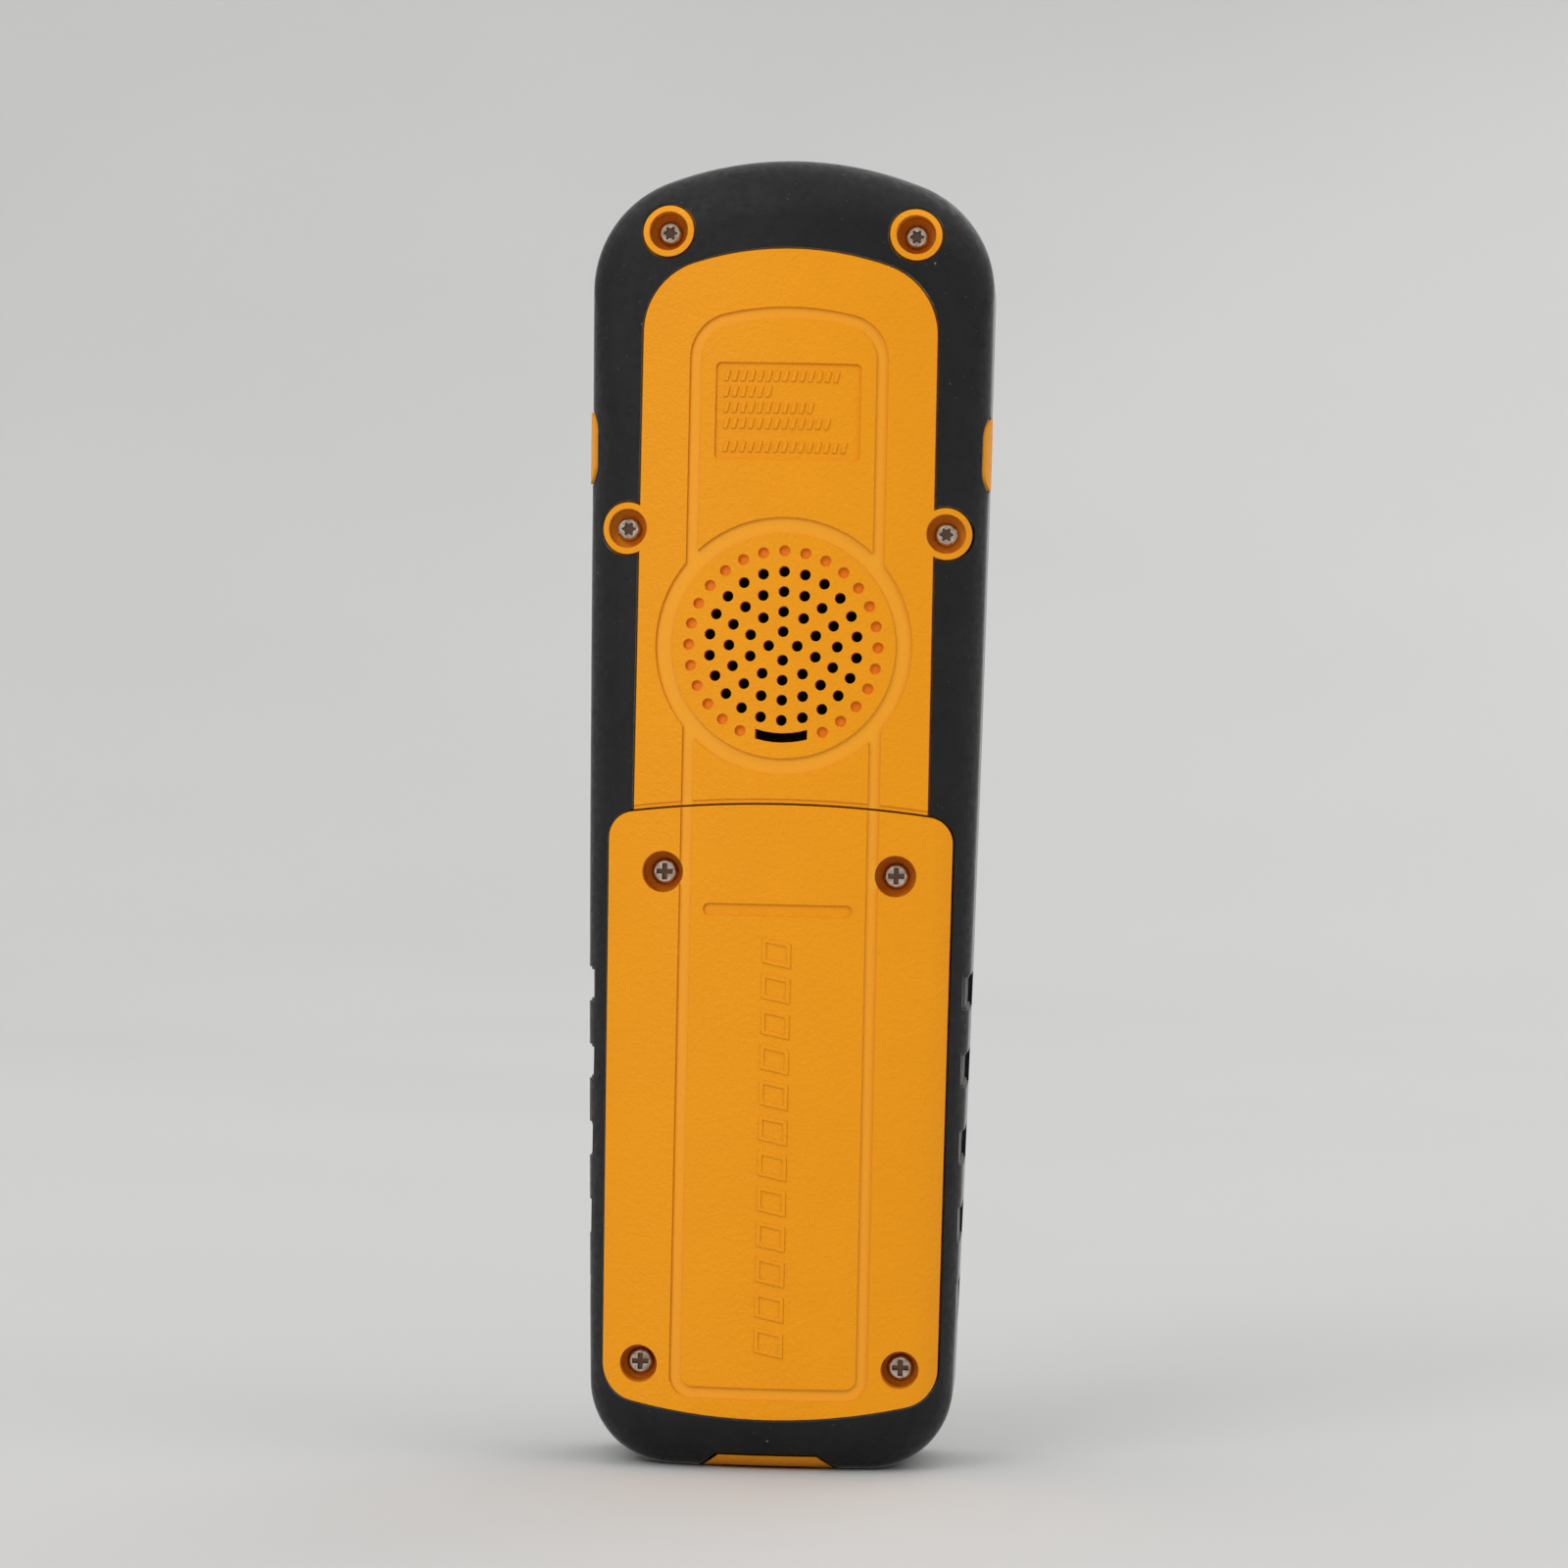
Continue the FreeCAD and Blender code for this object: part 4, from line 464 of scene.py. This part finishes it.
# Each legend is a list of strokes, within about 0.9 either side and 1.4 up and down
LEGENDS = {
    "key_0": [arc(0, 0, 0.85, 1.4, 0, 360, 26)],
    "key_1": [[(-0.5, 0.9), (0.15, 1.4), (0.15, -1.4)]],
    "key_2": [arc(0, 0.55, 0.85, 0.85, 165, -35) + [(-0.85, -1.4), (0.9, -1.4)]],
    "key_3": [arc(0, 0.7, 0.78, 0.7, 150, -90), arc(0, -0.7, 0.85, 0.7, 90, -150)],
    "key_4": [[(0.4, -1.4), (0.4, 1.4), (-0.85, -0.5), (0.9, -0.5)]],
    "key_5": [[(0.75, 1.4), (-0.6, 1.4), (-0.7, 0.2)] + arc(0, -0.52, 0.85, 0.88, 130, -145)],
    "key_6": SIX,
    "key_7": [[(-0.85, 1.4), (0.85, 1.4), (-0.25, -1.4)]],
    "key_8": [arc(0, 0.7, 0.7, 0.7, 0, 360, 20), arc(0, -0.7, 0.85, 0.7, 0, 360, 20)],
    "key_9": turned_over(SIX),
    "key_star": [[(-0.8 * math.cos(a), -0.8 * math.sin(a)), (0.8 * math.cos(a), 0.8 * math.sin(a))]
                 for a in (math.pi / 2, math.pi / 6, -math.pi / 6)],
    "key_hash": [[(-0.55, -1.1), (-0.3, 1.1)], [(0.3, -1.1), (0.55, 1.1)],
                 [(-0.95, 0.4), (0.95, 0.4)], [(-0.95, -0.4), (0.95, -0.4)]],
    "key_menu": [[(-0.9, z), (0.9, z)] for z in (0.8, 0, -0.8)],
    "key_clear": [[(-0.75, -0.75), (0.75, 0.75)], [(-0.75, 0.75), (0.75, -0.75)]],
    "key_talk": [arc(0, 1.2, 1.5, 1.5, 215, 325),
                 [(-1.35, 0.2), (-1.1, 0.75)], [(1.35, 0.2), (1.1, 0.75)]],
    "key_end": [arc(0, -1.5, 1.5, 1.5, 145, 35),
                [(-1.35, -0.5), (-1.45, -1.0)], [(1.35, -0.5), (1.45, -1.0)]],
}


def unit(v):
    return v / np.linalg.norm(v, axis=-1, keepdims=True)


def ribbon(stroke, width):
    """The two edges of a line of the given width with round ends, and whether it closes on itself.

    At each point the edges stand half the width away along the mitre of the two directions that
    meet there. An open end is rounded by points at END_TURNS round a half circle."""
    line = np.array(stroke)
    closed = bool(np.allclose(line[0], line[-1]))
    if closed:
        line = line[:-1]
        before, after = np.roll(line, 1, axis=0), np.roll(line, -1, axis=0)
    else:
        before = np.vstack([2 * line[0] - line[1], line[:-1]])
        after = np.vstack([line[1:], 2 * line[-1] - line[-2]])
    quarter = np.array([[0, 1], [-1, 0]])
    square = unit(line - before) @ quarter
    mitre = unit(square + unit(after - line) @ quarter)
    reach = width / 2 / np.maximum((mitre * square).sum(axis=1, keepdims=True), MITRE_LEAST)
    left, right = line + mitre * reach, line - mitre * reach
    if not closed:
        turns = np.radians(END_TURNS)
        out, aside = width / 2 * np.sin(turns), width / 2 * np.cos(turns)
        way, side = unit(line[0] - line[1]), square[0]
        first = line[0] + out[::-1] * way
        left = np.vstack([first + aside[::-1] * side, left])
        right = np.vstack([first - aside[::-1] * side, right])
        way, side = unit(line[-1] - line[-2]), square[-1]
        last = line[-1] + out * way
        left = np.vstack([left, last + aside * side])
        right = np.vstack([right, last - aside * side])
    return left, right, closed


def printed(name, strokes, width, y, body, ink):
    """Strokes of ink on the plane at y, seen from -Y.

    Each is a closed bar: its ribbon's two edges carried from just behind the plane to just in
    front of it, a step further out for each stroke so that crossings never share a plane."""
    points, faces, base = [], [], 0
    for level, stroke in enumerate(strokes):
        left, right, closed = ribbon(stroke, width)
        front, back, count = y - PRINT_RISE - level * PRINT_STEP, y + PRINT_RISE, len(left)
        for edge, depth in ((left, front), (right, front), (left, back), (right, back)):
            points.append(np.insert(edge, 1, depth, axis=1))
        left_front, right_front, left_back, right_back = base + count * np.arange(4)
        i = np.arange(count if closed else count - 1)
        j = (i + 1) % count
        around = ((right_front, left_front), (left_back, right_back),
                  (left_front, left_back), (right_back, right_front))
        sides = [np.stack([a + i, a + j, b + j, b + i], axis=1) for a, b in around]
        faces += np.stack(sides, axis=1).reshape(-1, 4).tolist()
        if not closed:
            start = np.array([left_front, left_back, right_back, right_front])
            end = np.array([left_front, right_front, right_back, left_back]) + count - 1
            faces += [start.tolist(), end.tolist()]
        base += 4 * count
    mesh = bpy.data.meshes.new(name)
    mesh.from_pydata(np.vstack(points).tolist(), [], faces)
    mesh.materials.append(ink)
    piece = bpy.data.objects.new(name, mesh)
    bpy.context.scene.collection.objects.link(piece)
    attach(piece, body)


def placed(strokes, x, z, scale):
    return [[(x + across * scale, z + up * scale) for across, up in stroke] for stroke in strokes]


def print_key_legends(ink):
    for key, strokes in LEGENDS.items():
        low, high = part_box(key)
        middle = placed(strokes, (low.x + high.x) / 2, (low.z + high.z) / 2, LEGEND_HALF_WIDTH)
        printed(key + "_legend", middle, LEGEND_STROKE, low.y, key, ink)


def print_nav_marks(ink):
    """An arrowhead above and below the middle of the rocker, and a spot on the select key."""
    middle = (NAV_LOW.z + NAV_HIGH.z) / 2
    arrowhead = [[(-1.0, -0.3), (0.0, 0.6), (1.0, -0.3)]]
    for name, way in (("nav_up_mark", 1), ("nav_down_mark", -1)):
        strokes = placed(arrowhead, 0.0, middle + way * NAV_MARK_OUT, way * NAV_MARK_HALF)
        printed(name, strokes, NAV_MARK_STROKE, NAV_LOW.y, "nav_rocker", ink)
    spot = [[(-0.01 * MM, middle), (0.01 * MM, middle)]]
    printed("select_mark", spot, SELECT_MARK_SIZE, SELECT_LOW.y, "key_select", ink)


def print_screen(ink):
    """Generic screen contents: a signal gauge, a battery gauge and two large digits."""
    x = (SCREEN_LOW.x + SCREEN_HIGH.x) / 2
    z = (SCREEN_LOW.z + SCREEN_HIGH.z) / 2
    top, foot = z + GAUGE_UP, z - GAUGE_UP
    bars = []
    for i in range(SIGNAL_BARS):
        bar = x - SIGNAL_OUT + i * GAUGE_PITCH
        bars.append([(bar, top - SIGNAL_FOOT), (bar, top - SIGNAL_LEAST + i * SIGNAL_STEP)])
    for i in range(BATTERY_BARS):
        bar = x + BATTERY_OUT + i * GAUGE_PITCH
        bars.append([(bar, top - BATTERY_FOOT), (bar, top)])
    bars.append([(x - RULE_HALF, foot), (x + RULE_HALF, foot)])
    printed("screen_gauges", bars, GAUGE_STROKE, SCREEN_LOW.y, "handset", ink)
    for name, side in (("key_1", -1), ("key_6", 1)):
        digit = placed(LEGENDS[name], x + side * DIGIT_OUT, z - DIGIT_DOWN, DIGIT_SIZE)
        printed("screen_digit_" + name[-1], digit, DIGIT_STROKE, SCREEN_LOW.y, "handset", ink)


# Stage, light and camera

LIGHT_SIZE = 1.3
LIGHTS = (                      # name, place and power
    ("key_light", (1.1, 1.9, 1.4), 19.0),
    ("front_light", (-0.9, -1.9, 1.4), 9.0),
    ("side_light", (-1.5, 0.6, 1.3), 4.5),
)
CAMERA_LENS = 120.0             # millimetres, as the sensor
CAMERA_SENSOR = 36.0
CAMERA_CLIP = (0.01, 20.0)
CAMERA_DISTANCE = 0.709
CAMERA_SIDE_TURN = 3.0          # degrees round from the middle of the back, towards -X
CAMERA_LEAN = 1.2               # degrees that the handset's top leans to the right
CAMERA_AIM = (0.0003, 0.0, 0.0915)


def studio_bowl():
    """A flat floor that curves up into a wide bowl: r = flat + rise sin t, z = rise (1 - cos t).

    A tiny hole at its middle, under the handset, saves it a pole."""
    flat, rise, hole, rings, around = 1.2, 1.9, 0.001, 26, 96
    turns = np.linspace(0, math.pi / 2, rings)
    radii = np.concatenate([[hole, flat / 2], flat + rise * np.sin(turns)])
    heights = np.concatenate([[0.0, 0.0], rise * (1 - np.cos(turns))])
    angles = np.linspace(0, 2 * math.pi, around, endpoint=False)
    x = radii[:, None] * np.cos(angles)
    y = radii[:, None] * np.sin(angles)
    z = np.repeat(heights[:, None], around, axis=1)
    points = np.stack([x, y, z], axis=-1).reshape(-1, 3)
    low = around * np.arange(len(radii) - 1)[:, None]
    here = np.arange(around)
    after = (here + 1) % around
    high = low + around
    faces = np.stack([low + here, high + here, high + after, low + after], axis=-1).reshape(-1, 4)
    mesh = bpy.data.meshes.new("studio_bowl")
    mesh.from_pydata(points.tolist(), [], faces.tolist())
    mesh.polygons.foreach_set("use_smooth", [True] * len(faces))
    mesh.materials.append(stage_paper())
    bowl = bpy.data.objects.new("studio_bowl", mesh)
    bpy.context.scene.collection.objects.link(bowl)


def soft_light(name, place, size, power):
    """A square light of the given side that faces the handset's middle."""
    lamp = bpy.data.lights.new(name, "AREA")
    lamp.size = size
    lamp.energy = power
    holder = bpy.data.objects.new(name, lamp)
    aim = Vector((0, 0, CASE_HIGH.z / 2)) - Vector(place)
    facing = aim.to_track_quat("-Z", "Y").to_matrix().to_4x4()
    holder.matrix_world = Matrix.Translation(place) @ facing
    bpy.context.scene.collection.objects.link(holder)


def light_studio():
    world = bpy.data.worlds.new("studio")
    world.use_nodes = True
    sky = world.node_tree.nodes["Background"]
    sky.inputs["Color"].default_value = (1.0, 1.0, 1.0, 1.0)
    sky.inputs["Strength"].default_value = 1.0
    bpy.context.scene.world = world
    for name, place, power in LIGHTS:
        soft_light(name, place, LIGHT_SIZE, power)
    bpy.context.scene.view_settings.view_transform = "Standard"


def place_camera():
    camera = bpy.data.cameras.new("camera")
    camera.lens = CAMERA_LENS
    camera.sensor_width = CAMERA_SENSOR
    camera.clip_start, camera.clip_end = CAMERA_CLIP
    turn = math.radians(CAMERA_SIDE_TURN)
    aim = Vector(CAMERA_AIM)
    place = aim + CAMERA_DISTANCE * Vector((-math.sin(turn), math.cos(turn), 0.0))
    facing = (aim - place).to_track_quat("-Z", "Y").to_matrix().to_4x4()
    lean = Matrix.Rotation(math.radians(CAMERA_LEAN), 4, "Z")
    holder = bpy.data.objects.new("camera", camera)
    holder.matrix_world = Matrix.Translation(place) @ facing @ lean
    bpy.context.scene.collection.objects.link(holder)
    bpy.context.scene.camera = holder


dress_frame()
legend_ink = print_ink("legend_white_ink", (0.72, 0.72, 0.70))
screen_ink = print_ink("screen_dark_ink", (0.012, 0.014, 0.012))
print_key_legends(legend_ink)
print_nav_marks(legend_ink)
print_screen(screen_ink)
studio_bowl()
light_studio()
place_camera()
